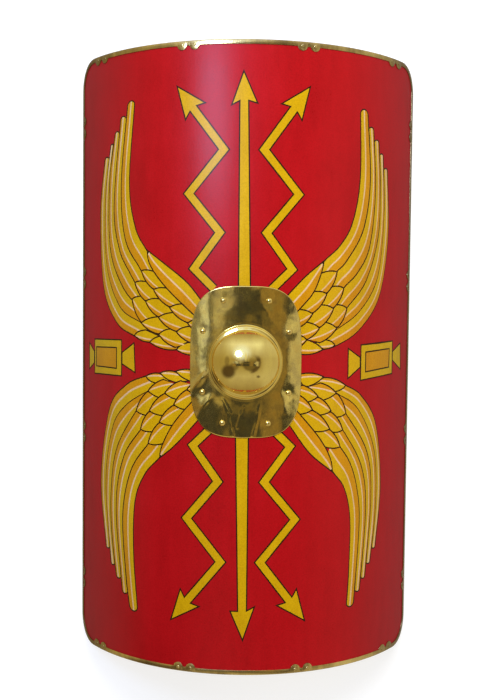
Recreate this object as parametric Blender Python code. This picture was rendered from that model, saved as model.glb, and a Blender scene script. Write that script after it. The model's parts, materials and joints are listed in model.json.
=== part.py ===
"""A Roman legionary's scutum: a tall curved shield of plywood with a brass rim and a brass boss.

Frame: +X right as seen from the front, +Y towards the shield's top, +Z out of the painted face.
The shield lies face up on its two long side edges, and the origin is on the ground under its middle.

Every piece is laid out on the developed face: s runs along the curve from the centre line, t runs
up the shield, and out is the height above the painted face. on_shield() bends that plan into shape.
The curve is made of narrow flats, the same for every piece, so that touching pieces stay parallel.
"""

from math import acos, asin, atan2, cos, pi, radians, sin, sqrt

import bmesh
import bpy
from mathutils import Vector
from mathutils.geometry import delaunay_2d_cdt

# ---- driving dimensions, in metres ----------------------------------------------------------

# the curved board
HEIGHT = 1.050                # over the rim
HALF_ARC = 0.3645             # centre line to side edge, along the painted face, over the rim
FACE_RADIUS = 0.338           # of the painted face
CORNER_RADIUS = 0.050
BOARD_THICKNESS = 0.008
FLATS_PER_SIDE = 14           # narrow flats from the centre line to a side edge

# what touches keeps this distance
GAP = 0.0003

# the brass rim: U-shaped strips that end in round lobes
RIM_SHEET = 0.0010
RIM_WIDTH = 0.0080            # of the band on the face
LOBE_RADIUS = 0.0085
LOBE_INSET = 0.0065           # lobe's centre from the outer edge
LOBE_FROM_JOINT = 0.0110      # lobe's centre from the joint of two strips
LOBE_STEPS = 5
CORNER_STEPS = 8
JOINTS_ON_TOP = (0.100, 0.290)       # along the curve, from the centre line
JOINTS_ON_SIDE = (0.140, 0.410)      # along the height, from the middle
REST_STEP = 0.0007            # the back corner of the rim is broken to a narrow flat, to rest on
NAIL_RADIUS = 0.0028
NAIL_HEIGHT = 0.0014
NAIL_SIDES = 6
NAIL_SHOULDER = (0.55, 0.85)  # of the head's radius and height, where its top bends down

# the boss: a plate on the board, a raised ring and a dome
BOSS_SHEET = 0.0012
PLATE_HALF_WIDTH = 0.0935
PLATE_HALF_HEIGHT = 0.1255
PLATE_SQUARENESS = 3.4        # exponent of the outline: 2 is an ellipse, more is squarer
PLATE_STEPS = 48
RING_RADIUS = 0.0610
RING_SECTION = ((0.0008, 0.0026), (0.0022, 0.0046), (0.0040, 0.0052))   # inwards, up
RING_INNER_HEIGHT = 0.0056
DOME_HEIGHT = 0.0360          # above the plate
DOME_CURVE = 0.0645           # the dome is a cap of a ball of this radius
DOME_RADIUS = 0.0515          # of the cap above and below the middle
DOME_SPREAD = 0.0030          # how much wider it is at the sides, where the plate curves away
DOME_FILLET = 0.0022          # from the ring's inner edge to the cap
DOME_STEPS = 7

# the eight rivets of the boss
RIVET_PLACES = ((0.0378, 0.1011), (0.0717, 0.0505))   # (s, t), the same in all four quarters
RIVET_HEAD_RADIUS = 0.0048
RIVET_HEAD_HEIGHT = 0.0034
RIVET_SHANK_RADIUS = 0.0020
RIVET_TAIL_RADIUS = 0.0038
RIVET_TAIL_HEIGHT = 0.0014
RIVET_SIDES = 8
RIVET_SHOULDER = (0.6, 0.8)   # of the head's radius and height, where its top bends down
RIVET_TAIL_TAPER = 0.8

# the hand hole and the grip across it
HAND_HOLE_RADIUS = 0.0560     # inside the boss's raised ring
ROUND_SIDES = 32              # of the hand hole and of the ring's foot
GRIP_HALF_LENGTH_FLATS = 4    # the grip ends on this flat's far edge
GRIP_PAD_START = 0.0620       # where the pads on the board begin
GRIP_PAD_HALF_WIDTH = 0.0190
GRIP_HANDLE_HALF_WIDTH = 0.0145
GRIP_DEPTH = 0.0310           # from the back of the board at the centre line
GRIP_HANDLE_SINK = 0.0040     # handle's front below the back of the board
GRIP_CHAMFER = 0.0060

# ---- what follows from them -------------------------------------------------------------------

FLAT = HALF_ARC / FLATS_PER_SIDE
FLAT_ANGLE = FLAT / FACE_RADIUS
HALF_HEIGHT = HEIGHT / 2
BOARD_BACK = -BOARD_THICKNESS
RIM_FRONT = GAP + RIM_SHEET
RIM_BACK = BOARD_BACK - GAP - RIM_SHEET
PLATE_BACK = GAP
PLATE_FRONT = GAP + BOSS_SHEET
EDGE_ANGLE = FLATS_PER_SIDE * FLAT_ANGLE


def from_axis(s, out):
    """Sideways and outward distance from the shield's axis, on the flats that stand for the curve."""
    flat = min(max(int(abs(s) // FLAT), 0), FLATS_PER_SIDE - 1)
    part = abs(s) / FLAT - flat
    near = flat * FLAT_ANGLE
    far = near + FLAT_ANGLE
    across = (1 - part) * sin(near) + part * sin(far)
    outward = (1 - part) * cos(near) + part * cos(far)
    radius = FACE_RADIUS + out
    return radius * (across if s >= 0 else -across), radius * outward


# the rim's broken back corner is level when the shield lies on it, which sets the axis's height
AXIS_DEPTH = from_axis(HALF_ARC - REST_STEP, RIM_BACK)[1]
REST_RISE = AXIS_DEPTH / cos(EDGE_ANGLE) - (FACE_RADIUS + RIM_BACK)


def on_shield(s, t, out):
    """The point of the shield at this place of the developed plan."""
    across, outward = from_axis(s, out)
    return Vector((across, t, outward - AXIS_DEPTH))


# ---- helpers ----------------------------------------------------------------------------------

def clear_scene():
    for item in list(bpy.data.objects):
        bpy.data.objects.remove(item, do_unlink=True)


def material(name, colour, roughness, metallic):
    finish = bpy.data.materials.new(name)
    finish.use_nodes = True
    shader = finish.node_tree.nodes["Principled BSDF"]
    shader.inputs["Base Color"].default_value = (*colour, 1.0)
    shader.inputs["Roughness"].default_value = roughness
    shader.inputs["Metallic"].default_value = metallic
    finish.diffuse_color = (*colour, 1.0)
    return finish


def make_object(name, bm, finish, smooth_below=30):
    """One named object from a bmesh, shaded smooth except across its sharp edges."""
    bmesh.ops.recalc_face_normals(bm, faces=bm.faces)
    mesh = bpy.data.meshes.new(name)
    bm.to_mesh(mesh)
    bm.free()
    mesh.materials.append(finish)
    mesh.shade_smooth()
    mesh.set_sharp_from_angle(angle=radians(smooth_below))
    piece = bpy.data.objects.new(name, mesh)
    bpy.context.collection.objects.link(piece)
    return piece


def circle(centre, radius, steps):
    """A circle on the developed plan; round the shield's middle it has a point on every edge of a flat."""
    stops = [0.0, pi / 2]
    if centre == (0.0, 0.0):
        stops += [acos(k * FLAT / radius) for k in range(1, int(radius / FLAT) + 1)]
    stops.sort()
    quarter = [pi / 2]
    for low, high in zip(stops, stops[1:]):
        parts = max(1, round((high - low) / (2 * pi / steps)))
        quarter += [low + (high - low) * i / parts for i in range(parts)]
    turns = {round(turn % (2 * pi), 9) for a in quarter for turn in (a, pi - a, pi + a, -a)}
    return [(centre[0] + radius * cos(a), centre[1] + radius * sin(a)) for a in sorted(turns)]


def rounded_rectangle(half_width, half_height, radius):
    """A rectangle with round corners, counter-clockwise."""
    outline = []
    for turn in range(4):
        side_s = 1 if turn in (0, 3) else -1
        side_t = 1 if turn in (0, 1) else -1
        for step in range(CORNER_STEPS + 1):
            angle = (turn + step / CORNER_STEPS) * pi / 2
            outline.append((side_s * (half_width - radius) + radius * cos(angle),
                            side_t * (half_height - radius) + radius * sin(angle)))
    return outline


def superellipse(half_width, half_height, exponent, steps):
    """A squared oval, counter-clockwise."""
    outline = []
    for step in range(steps):
        angle = 2 * pi * step / steps
        c, d = cos(angle), sin(angle)
        reach = (abs(c / half_width) ** exponent + abs(d / half_height) ** exponent) ** (-1 / exponent)
        outline.append((reach * c, reach * d))
    return outline


def inside(point, outline):
    """Whether a point of the plan lies inside a closed outline."""
    s, t = point
    crossed = False
    for (s1, t1), (s2, t2) in zip(outline, outline[1:] + outline[:1]):
        if (t1 > t) != (t2 > t) and s < s1 + (t - t1) * (s2 - s1) / (t2 - t1):
            crossed = not crossed
    return crossed


def flat_pattern(outline, holes):
    """The outline less its holes, as triangles that each lie on one flat of the curve."""
    points = []
    edges = []
    for loop in [outline] + holes:
        start = len(points)
        points += [Vector(p) for p in loop]
        edges += [(start + i, start + (i + 1) % len(loop)) for i in range(len(loop))]
    reach = max(p[0] for p in outline)
    beyond = 1.1 * max(p[1] for p in outline)
    for flat in range(-FLATS_PER_SIDE, FLATS_PER_SIDE + 1):
        if abs(flat * FLAT) < reach:
            edges.append((len(points), len(points) + 1))
            points += [Vector((flat * FLAT, -beyond)), Vector((flat * FLAT, beyond))]
    plan, _, faces, _, _, _ = delaunay_2d_cdt(points, edges, [], 0, 1e-7)
    kept = []
    for face in faces:
        middle = sum((plan[i] for i in face), Vector((0.0, 0.0))) / 3
        if inside(middle, outline) and not any(inside(middle, hole) for hole in holes):
            kept.append(face)
    return plan, kept


def rim_edges(faces):
    """The directed edges that only one triangle has."""
    seen = {(a, b) for face in faces for a, b in zip(face, face[1:] + face[:1])}
    return [(a, b) for a, b in seen if (b, a) not in seen]


def add_sheet(bm, pattern, back, front):
    """A curved sheet between two heights; gives the points of its two faces."""
    plan, faces = pattern
    faces = [list(face) for face in faces]
    used = sorted({i for face in faces for i in face})
    high = {i: bm.verts.new(on_shield(*plan[i], front)) for i in used}
    low = {i: bm.verts.new(on_shield(*plan[i], back)) for i in used}
    for face in faces:
        bm.faces.new([high[i] for i in face])
        bm.faces.new([low[i] for i in reversed(face)])
    return high, low


def add_walls(bm, faces, high, low, wanted=lambda a, b: True):
    """Close a sheet between its faces along those of its edges that are wanted."""
    for a, b in rim_edges([list(face) for face in faces]):
        if wanted(a, b):
            bm.faces.new([high[b], high[a], low[a], low[b]])


def sweep(bm, rings):
    """Join closed rings of points into a solid with flat ends."""
    loops = [[bm.verts.new(point) for point in ring] for ring in rings]
    for one, other in zip(loops, loops[1:]):
        for i in range(len(one)):
            j = (i + 1) % len(one)
            bm.faces.new([one[i], one[j], other[j], other[i]])
    bm.faces.new(loops[0][::-1])
    bm.faces.new(loops[-1])


def turned(bm, centre, profile, sides):
    """A solid turned about the face's normal at centre, from (radius, height) points, top to bottom."""
    tip = bm.verts.new(on_shield(*centre, profile[0][1]))
    heel = bm.verts.new(on_shield(*centre, profile[-1][1]))
    loops = []
    for radius, height in profile[1:-1]:
        loops.append([bm.verts.new(on_shield(centre[0] + radius * cos(2 * pi * i / sides),
                                             centre[1] + radius * sin(2 * pi * i / sides), height))
                      for i in range(sides)])
    for i in range(sides):
        j = (i + 1) % sides
        bm.faces.new([tip, loops[0][i], loops[0][j]])
        bm.faces.new([heel, loops[-1][j], loops[-1][i]])
        for one, other in zip(loops, loops[1:]):
            bm.faces.new([one[i], other[i], other[j], one[j]])


# ---- the board --------------------------------------------------------------------------------

def rivet_centres():
    return [(side * s, end * t) for s, t in RIVET_PLACES for side in (-1, 1) for end in (-1, 1)]


def rivet_holes():
    return [circle(centre, RIVET_SHANK_RADIUS + GAP, RIVET_SIDES) for centre in rivet_centres()]


def build_board(finish):
    inset = RIM_SHEET + GAP
    outline = rounded_rectangle(HALF_ARC - inset, HALF_HEIGHT - inset, CORNER_RADIUS - inset)
    holes = [circle((0.0, 0.0), HAND_HOLE_RADIUS, ROUND_SIDES)] + rivet_holes()
    pattern = flat_pattern(outline, holes)
    bm = bmesh.new()
    high, low = add_sheet(bm, pattern, BOARD_BACK, 0.0)
    add_walls(bm, pattern[1], high, low)
    return make_object("board", bm, finish)


# ---- the brass rim ----------------------------------------------------------------------------

def rim_path(distance):
    """Place and inward direction on the outer edge, this far round from the middle of the top."""
    top_run = HALF_ARC - CORNER_RADIUS
    turn_run = CORNER_RADIUS * pi / 2
    if distance < 0:
        (s, t), (ds, dt) = rim_path(-distance)
        return (-s, t), (-ds, dt)
    if distance <= top_run:
        return (distance, HALF_HEIGHT), (0.0, -1.0)
    if distance >= top_run + turn_run:
        return (HALF_ARC, HALF_HEIGHT - CORNER_RADIUS - (distance - top_run - turn_run)), (-1.0, 0.0)
    angle = pi / 2 - (distance - top_run) / CORNER_RADIUS
    place = (top_run + CORNER_RADIUS * cos(angle), HALF_HEIGHT - CORNER_RADIUS + CORNER_RADIUS * sin(angle))
    return place, (-cos(angle), -sin(angle))


def along_side(height):
    """Distance round the rim, from the middle of the top, of a point at this height on the side."""
    return HALF_ARC - CORNER_RADIUS + CORNER_RADIUS * pi / 2 + HALF_HEIGHT - CORNER_RADIUS - height


def strip_width(distance, lobes):
    """Width of the band here, wider where a lobe stands out of it."""
    width = RIM_WIDTH
    for lobe in lobes:
        if abs(distance - lobe) < LOBE_RADIUS:
            width = max(width, LOBE_INSET + sqrt(LOBE_RADIUS ** 2 - (distance - lobe) ** 2))
    return width


def strip_stations(start, end, lobes):
    """The places along a strip that its shape needs, from end to end."""
    half_angle = acos((RIM_WIDTH - LOBE_INSET) / LOBE_RADIUS)
    stations = [start, end]
    for lobe in lobes:
        stations += [lobe + LOBE_RADIUS * sin(half_angle * (2 * i / LOBE_STEPS - 1))
                     for i in range(LOBE_STEPS + 1)]
    top_run = HALF_ARC - CORNER_RADIUS
    turn_run = CORNER_RADIUS * pi / 2
    stations += [flat * FLAT for flat in range(-FLATS_PER_SIDE, FLATS_PER_SIDE) if abs(flat * FLAT) < top_run]
    stations += [top_run + turn_run * i / CORNER_STEPS for i in range(CORNER_STEPS + 1)]
    inside_strip = sorted(place for place in stations if start <= place <= end)
    kept = inside_strip[:1]
    for place in inside_strip[1:-1]:
        if place - kept[-1] > 5 * GAP and end - place > 5 * GAP:
            kept.append(place)
    return kept + [end]


def strip_ring(distance, width):
    """The U-shaped section of the rim at one place, as (inward, out) pairs."""
    return [(0.0, RIM_FRONT), (width, RIM_FRONT), (width, GAP), (RIM_SHEET, GAP),
            (RIM_SHEET, BOARD_BACK - GAP), (width, BOARD_BACK - GAP), (width, RIM_BACK),
            (REST_STEP, RIM_BACK), (0.0, RIM_BACK + REST_RISE)]


def rim_place(distance, inward, side, end):
    """The plan's point this far in from the edge; side and end mirror it into the other quarters."""
    (s, t), (ds, dt) = rim_path(distance)
    return side * (s + inward * ds), end * (t + inward * dt)


def build_strip(name, start, end_at, side, end, lobes, finish):
    """One strip of the rim with its nails, between two distances round the rim."""
    bm = bmesh.new()
    rings = []
    for distance in strip_stations(start, end_at, lobes):
        section = strip_ring(distance, strip_width(distance, lobes))
        rings.append([on_shield(*rim_place(distance, inward, side, end), out) for inward, out in section])
    sweep(bm, rings)
    strip = make_object(name, bm, finish)
    nails = build_nails(name + "_nails", lobes, side, end, finish)
    union = strip.modifiers.new("nails", 'BOOLEAN')
    union.operation = 'UNION'
    union.object = nails
    return strip


def build_nails(name, lobes, side, end, finish):
    """The heads of a strip's nails, which the strip takes in by a union; not a piece by itself."""
    bm = bmesh.new()
    sunk = GAP + RIM_SHEET / 2
    across, up = NAIL_SHOULDER
    for lobe in lobes:
        centre = rim_place(lobe, LOBE_INSET, side, end)
        turned(bm, centre, [(0.0, RIM_FRONT + NAIL_HEIGHT),
                            (across * NAIL_RADIUS, RIM_FRONT + up * NAIL_HEIGHT),
                            (NAIL_RADIUS, RIM_FRONT), (NAIL_RADIUS, sunk), (0.0, sunk)], NAIL_SIDES)
    nails = make_object(name, bm, finish)
    nails.hide_render = True
    nails.display_type = 'WIRE'
    return nails


def build_rim(finish):
    """Three strips along each edge and one round each corner, with lobes where they meet."""
    half_gap = GAP / 2
    inner, outer = JOINTS_ON_TOP
    low, high = JOINTS_ON_SIDE
    for end, end_name in ((1, "top"), (-1, "bottom")):
        runs = ((-outer, -inner, "left"), (-inner, inner, "middle"), (inner, outer, "right"))
        for start, stop, place in runs:
            lobes = [start + LOBE_FROM_JOINT, stop - LOBE_FROM_JOINT]
            build_strip(f"edging_{end_name}_{place}", start + half_gap, stop - half_gap, 1, end, lobes, finish)
    for side, side_name in ((-1, "left"), (1, "right")):
        for end, end_name in ((1, "top"), (-1, "bottom")):
            start, stop = outer, along_side(high)
            lobes = [start + LOBE_FROM_JOINT, stop - LOBE_FROM_JOINT]
            build_strip(f"edging_corner_{end_name}_{side_name}", start + half_gap, stop - half_gap,
                        side, end, lobes, finish)
            start, stop = along_side(high), along_side(low)
            lobes = [start + LOBE_FROM_JOINT, stop - LOBE_FROM_JOINT]
            build_strip(f"edging_{side_name}_{end_name}", start + half_gap, stop - half_gap,
                        side, end, lobes, finish)
        start, stop = along_side(low), along_side(-low)
        lobes = [start + LOBE_FROM_JOINT, stop - LOBE_FROM_JOINT]
        build_strip(f"edging_{side_name}_middle", start + half_gap, stop - half_gap, side, 1, lobes, finish)


# ---- the boss ---------------------------------------------------------------------------------

def dome_profile(angle):
    """The raised ring and the dome from the plate inwards, as (radius, height above the plate)."""
    spring = DOME_RADIUS + DOME_SPREAD * cos(angle) ** 2
    ring = [(RING_RADIUS - inwards, height) for inwards, height in RING_SECTION]
    ring.append((spring + DOME_FILLET, RING_INNER_HEIGHT))
    dome = []
    for step in range(DOME_STEPS):
        tilt = asin(spring / DOME_CURVE) * (1 - step / DOME_STEPS)
        radius = DOME_CURVE * sin(tilt)
        plate_drop = FACE_RADIUS * (1 - cos(radius * cos(angle) / FACE_RADIUS))
        dome.append((radius, DOME_HEIGHT - DOME_CURVE * (1 - cos(tilt)) + plate_drop))
    return ring + dome


def inner_profile(profile):
    """The same profile seen from inside, one sheet thickness further in."""
    points = [(RING_RADIUS, 0.0)] + profile + [(0.0, DOME_HEIGHT)]
    inner = []
    for before, here, after in zip(points, points[1:], points[2:]):
        along = Vector((after[0] - before[0], after[1] - before[1])).normalized()
        inner.append((here[0] + along.y * -BOSS_SHEET, here[1] + along.x * BOSS_SHEET))
    return inner


def add_dome_skin(bm, edge_loop, angles, profiles, top):
    """Rings of points over a circular edge of the plate, closed by a tip. Each angle has its profile."""
    loops = [edge_loop]
    for level in zip(*profiles):
        ring = [on_shield(radius * cos(a), radius * sin(a), PLATE_FRONT) + Vector((0, 0, height))
                for a, (radius, height) in zip(angles, level)]
        loops.append([bm.verts.new(point) for point in ring])
    tip = bm.verts.new(on_shield(0.0, 0.0, PLATE_FRONT) + Vector((0, 0, top)))
    count = len(angles)
    for one, other in zip(loops, loops[1:]):
        for i in range(count):
            j = (i + 1) % count
            bm.faces.new([one[i], one[j], other[j], other[i]])
    for i in range(count):
        bm.faces.new([loops[-1][i], loops[-1][(i + 1) % count], tip])


def build_boss(finish):
    outline = superellipse(PLATE_HALF_WIDTH, PLATE_HALF_HEIGHT, PLATE_SQUARENESS, PLATE_STEPS)
    foot = circle((0.0, 0.0), RING_RADIUS, ROUND_SIDES)
    plan, faces = flat_pattern(outline, [foot] + rivet_holes())
    bm = bmesh.new()
    high, low = add_sheet(bm, (plan, faces), PLATE_BACK, PLATE_FRONT)

    def on_foot(i):
        return abs(plan[i].length - RING_RADIUS) < GAP / 10

    add_walls(bm, faces, high, low, lambda a, b: not (on_foot(a) and on_foot(b)))
    foot_points = sorted((i for i in high if on_foot(i)), key=lambda i: atan2(plan[i].y, plan[i].x))
    angles = [atan2(plan[i].y, plan[i].x) for i in foot_points]
    profiles = [dome_profile(angle) for angle in angles]
    inner_profiles = [inner_profile(profile) for profile in profiles]
    add_dome_skin(bm, [high[i] for i in foot_points], angles, profiles, DOME_HEIGHT)
    add_dome_skin(bm, [low[i] for i in foot_points], angles, inner_profiles, DOME_HEIGHT - BOSS_SHEET)
    return make_object("boss", bm, finish)


def build_rivets(finish):
    """Domed heads on the plate, peened tails on the back of the board."""
    under_head = PLATE_FRONT + GAP
    over_tail = BOARD_BACK - GAP
    across, up = RIVET_SHOULDER
    profile = [(0.0, under_head + RIVET_HEAD_HEIGHT),
               (across * RIVET_HEAD_RADIUS, under_head + up * RIVET_HEAD_HEIGHT),
               (RIVET_HEAD_RADIUS, under_head), (RIVET_SHANK_RADIUS, under_head),
               (RIVET_SHANK_RADIUS, over_tail), (RIVET_TAIL_RADIUS, over_tail),
               (RIVET_TAIL_TAPER * RIVET_TAIL_RADIUS, over_tail - RIVET_TAIL_HEIGHT),
               (0.0, over_tail - RIVET_TAIL_HEIGHT)]
    for number, centre in enumerate(rivet_centres(), start=1):
        bm = bmesh.new()
        turned(bm, centre, profile, RIVET_SIDES)
        make_object(f"boss_rivet_{number}", bm, finish)


# ---- the grip ---------------------------------------------------------------------------------

def grip_section(s, front_out, half_width, chamfer):
    """The grip's eight-sided section at one place along the curve."""
    x, _, front = on_shield(s, 0.0, front_out)
    back = on_shield(0.0, 0.0, BOARD_BACK).z - GRIP_DEPTH
    w, c = half_width, chamfer
    return [Vector((x, y, z)) for y, z in
            ((w - c, front), (c - w, front), (-w, front - c), (-w, back + c),
             (c - w, back), (w - c, back), (w, back + c), (w, front - c))]


def build_grip(finish):
    """A wooden bar with a pad on the board at each end and a handle across the hand hole."""
    pad_front = BOARD_BACK - GAP
    handle_front = BOARD_BACK - GRIP_HANDLE_SINK
    end = GRIP_HALF_LENGTH_FLATS * FLAT
    half = [(0.0, handle_front, GRIP_HANDLE_HALF_WIDTH, GRIP_CHAMFER),
            (0.5 * HAND_HOLE_RADIUS, handle_front, GRIP_HANDLE_HALF_WIDTH, GRIP_CHAMFER),
            (0.9 * HAND_HOLE_RADIUS, handle_front, GRIP_HANDLE_HALF_WIDTH, GRIP_CHAMFER),
            (GRIP_PAD_START, pad_front, GRIP_PAD_HALF_WIDTH, GRIP_CHAMFER / 3),
            ((GRIP_HALF_LENGTH_FLATS - 1) * FLAT, pad_front, GRIP_PAD_HALF_WIDTH, GRIP_CHAMFER / 3),
            (end, pad_front, GRIP_PAD_HALF_WIDTH, GRIP_CHAMFER / 3)]
    stations = [(-s, out, width, chamfer) for s, out, width, chamfer in half[:0:-1]] + half
    bm = bmesh.new()
    sweep(bm, [grip_section(*station) for station in stations])
    return make_object("grip", bm, finish)


def main():
    clear_scene()
    paint = material("red painted board", (0.46, 0.012, 0.014), 0.42, 0.0)
    brass = material("polished brass", (0.78, 0.60, 0.25), 0.22, 1.0)
    wood = material("pale wood", (0.52, 0.36, 0.20), 0.60, 0.0)
    build_board(paint)
    build_rim(brass)
    build_boss(brass)
    build_rivets(brass)
    build_grip(wood)


main()
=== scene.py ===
"""The looks of a Roman legionary's scutum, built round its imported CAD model.

Every piece is laid out on the developed face, as the CAD is: s runs along the curve from the centre
line, t runs up the shield, and out is the height above the painted face. on_shield() bends that plan
into shape. Sizes are in metres, but for the painted design, which is drawn in millimetres.
"""

import json
from math import acos, asin, atan2, ceil, cos, exp, hypot, pi, radians, sin, sqrt

import bmesh
import bpy
import numpy as np
from mathutils import Matrix, Vector, noise
from mathutils.geometry import delaunay_2d_cdt

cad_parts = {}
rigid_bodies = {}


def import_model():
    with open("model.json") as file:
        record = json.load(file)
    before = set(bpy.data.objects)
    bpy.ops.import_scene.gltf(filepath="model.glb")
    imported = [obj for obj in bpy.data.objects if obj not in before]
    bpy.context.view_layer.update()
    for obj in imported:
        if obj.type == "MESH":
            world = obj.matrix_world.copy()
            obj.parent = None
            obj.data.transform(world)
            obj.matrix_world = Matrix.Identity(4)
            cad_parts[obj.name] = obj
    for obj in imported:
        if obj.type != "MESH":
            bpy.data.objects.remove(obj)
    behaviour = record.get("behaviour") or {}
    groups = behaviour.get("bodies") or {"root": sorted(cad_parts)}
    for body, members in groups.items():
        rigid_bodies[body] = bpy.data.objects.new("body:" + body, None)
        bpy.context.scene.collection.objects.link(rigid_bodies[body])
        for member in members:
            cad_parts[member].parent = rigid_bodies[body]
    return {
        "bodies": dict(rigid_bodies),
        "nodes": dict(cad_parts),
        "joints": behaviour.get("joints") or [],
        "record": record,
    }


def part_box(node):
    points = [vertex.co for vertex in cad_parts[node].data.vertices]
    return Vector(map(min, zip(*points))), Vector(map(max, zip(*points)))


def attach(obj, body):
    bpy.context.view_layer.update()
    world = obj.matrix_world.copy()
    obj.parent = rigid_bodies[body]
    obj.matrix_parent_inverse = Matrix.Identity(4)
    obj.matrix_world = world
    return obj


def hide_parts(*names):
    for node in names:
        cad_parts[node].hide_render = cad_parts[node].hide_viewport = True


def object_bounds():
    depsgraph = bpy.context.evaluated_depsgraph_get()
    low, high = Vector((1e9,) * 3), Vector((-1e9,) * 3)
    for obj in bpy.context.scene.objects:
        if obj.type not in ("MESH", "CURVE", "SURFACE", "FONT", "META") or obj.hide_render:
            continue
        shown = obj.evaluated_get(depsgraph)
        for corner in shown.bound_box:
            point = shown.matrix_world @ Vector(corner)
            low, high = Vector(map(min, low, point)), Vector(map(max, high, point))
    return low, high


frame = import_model()
cad_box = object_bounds()
BODY = next(iter(frame["bodies"]))

# ---- sizes of the construction, the same as the CAD's, in metres --------------------------------

FACE_RADIUS = 0.338           # of the painted face
BOARD_THICKNESS = 0.008
HALF_ARC = 0.3645             # centre line to side edge, along the face, over the rim
CORNER_RADIUS = 0.050
GAP = 0.0003                  # between pieces that touch

RIM_SHEET = 0.0010
RIM_WIDTH = 0.0080
LOBE_RADIUS = 0.0085
LOBE_INSET = 0.0065
LOBE_FROM_JOINT = 0.0110
JOINTS_ON_TOP = (0.100, 0.290)
JOINTS_ON_SIDE = (0.140, 0.410)
REST_STEP = 0.0007            # the rim's back corner is broken, to rest on
REST_RISE = 0.0013
NAIL_RADIUS = 0.0028
NAIL_HEIGHT = 0.0014

BOSS_SHEET = 0.0012
PLATE_HALF_WIDTH = 0.0935
PLATE_HALF_HEIGHT = 0.1255
PLATE_SQUARENESS = 3.4
RING_RADIUS = 0.0610
RING_SHOULDER = (0.0040, 0.0052)          # width and height
RING_INNER_HEIGHT = 0.0056
DOME_HEIGHT = 0.0360          # above the plate
DOME_CURVE = 0.0645           # the dome is a cap of a ball of this radius
DOME_RADIUS = 0.0515          # of the cap above and below the middle
DOME_SPREAD = 0.0030          # how much wider it is at the sides, where the plate curves away
DOME_FILLET = 0.0022          # from the ring's inner edge to the cap
RIVET_PLACES = ((0.0378, 0.1011), (0.0717, 0.0505))
RIVET_HEAD_RADIUS = 0.0048
RIVET_HEAD_HEIGHT = 0.0034
RIVET_SHANK_RADIUS = 0.0020
RIVET_TAIL_RADIUS = 0.0038
RIVET_TAIL_HEIGHT = 0.0014

HAND_HOLE_RADIUS = 0.0560
GRIP_PAD_START = 0.0620
GRIP_PAD_HALF_WIDTH = 0.0190
GRIP_HANDLE_HALF_WIDTH = 0.0145
GRIP_HANDLE_END = 0.048       # where the handle begins to widen into the pads
GRIP_HALF_LENGTH = 4 * HALF_ARC / 14 - 0.0002   # four of the CAD's fourteen flats
GRIP_HANDLE_SINK = 0.0040

BOARD_BACK = -BOARD_THICKNESS
RIM_FRONT = GAP + RIM_SHEET
RIM_BACK = BOARD_BACK - GAP - RIM_SHEET
PLATE_FRONT = GAP + BOSS_SHEET
FACE_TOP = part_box("board")[1].z
AXIS_Z = FACE_TOP - FACE_RADIUS
HALF_HEIGHT = cad_box[1].y
MM = 0.001


def on_shield(s, t, out=0.0):
    """The point of the shield at this place of the developed plan."""
    angle = s / FACE_RADIUS
    radius = FACE_RADIUS + out
    return Vector((radius * sin(angle), t, radius * cos(angle) + AXIS_Z))


# ---- camera -------------------------------------------------------------------------------------

CAMERA_FROM_FACE = Vector((-0.0016, 0.0973, 1.5627))   # from the top of the curve, in the middle
CAMERA_LENS = 48.86
CAMERA_YAW, CAMERA_PITCH, CAMERA_ROLL = 0.0054, 0.0493, -0.0102   # radians off straight down


def make_camera():
    camera = bpy.data.objects.new("camera", bpy.data.cameras.new("camera"))
    bpy.context.scene.collection.objects.link(camera)
    camera.data.lens = CAMERA_LENS
    camera.location = Vector((0.0, 0.0, FACE_TOP)) + CAMERA_FROM_FACE
    to_camera = (Matrix.Rotation(CAMERA_ROLL, 3, 'Z') @ Matrix.Rotation(CAMERA_PITCH, 3, 'X')
                 @ Matrix.Rotation(CAMERA_YAW, 3, 'Y'))
    camera.rotation_euler = to_camera.transposed().to_euler()
    bpy.context.scene.camera = camera


# ---- the painted design, in millimetres on the plan ---------------------------------------------

RED, LINE, YELLOW, ORANGE, PALE = range(5)
LINE_WIDTH = 2.3
DESIGN_CENTRE = np.array((-6.1, 6.5))     # the bolts and wings were painted a little off the middle

# A bolt from its arrow's tip to where it runs under the boss, in distances from the design's centre.
BOLT_CORNERS = ((33, 341), (92, 270), (38.5, 206), (82, 147), (48, 114))
BOLT_TIPS = {(-1, 1): (112, 443.5), (1, 1): (107.5, 444), (-1, -1): (117.5, 443.5), (1, -1): (109.5, 441)}
BOLT_HALF_WIDTH = 6.0
HEAD_LENGTH, HEAD_HALF_WIDTH, HEAD_NOTCH = 48.0, 19.5, 42.5
COVERT_TUCK = 10.0             # how far each covert goes on under the ones above it

# The central spear's two halves: where it leaves the boss, its neck, its tip and its head's barbs.
SPEARS = (
    dict(foot=(-3.2, 112), foot_half=8.8, neck=(-6.6, 428), neck_half=6.1, tip=(-7.5, 471),
         barbs=((-25, 421.5), (13.5, 424))),
    dict(foot=(-5.2, -112), foot_half=9.7, neck=(-2.0, -418), neck_half=6.3, tip=(-1, -463),
         barbs=((-20.5, -418), (16.5, -411.5))),
)

# The two name tablets beside the boss, with their swallow tails, left open and plain.
TABLETS = (
    dict(frame=((-311, 29.5), (-233.5, 30.5), (-233.5, -29.5), (-311, -29.5)),
         panel=((-305, 15.7), (-246.5, 16.8), (-246.5, -17), (-305, -16)),
         tails=(((-230, 9.5), (-204, 25.5), (-201.5, -21.5), (-230, -9)),
                ((-315, 8), (-332, 21), (-332, -22), (-315, -11)))),
    dict(frame=((212, 26.5), (296, 31.5), (296, -24), (212, -32)),
         panel=((223.5, 14), (286, 18.3), (285, -12.2), (223.5, -17.8)),
         tails=(((208.5, 5.5), (184, 20), (184, -27), (208.5, -10)),
                ((299, 13), (325, 26.5), (327, -17), (299, -0.5)))),
)

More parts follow.
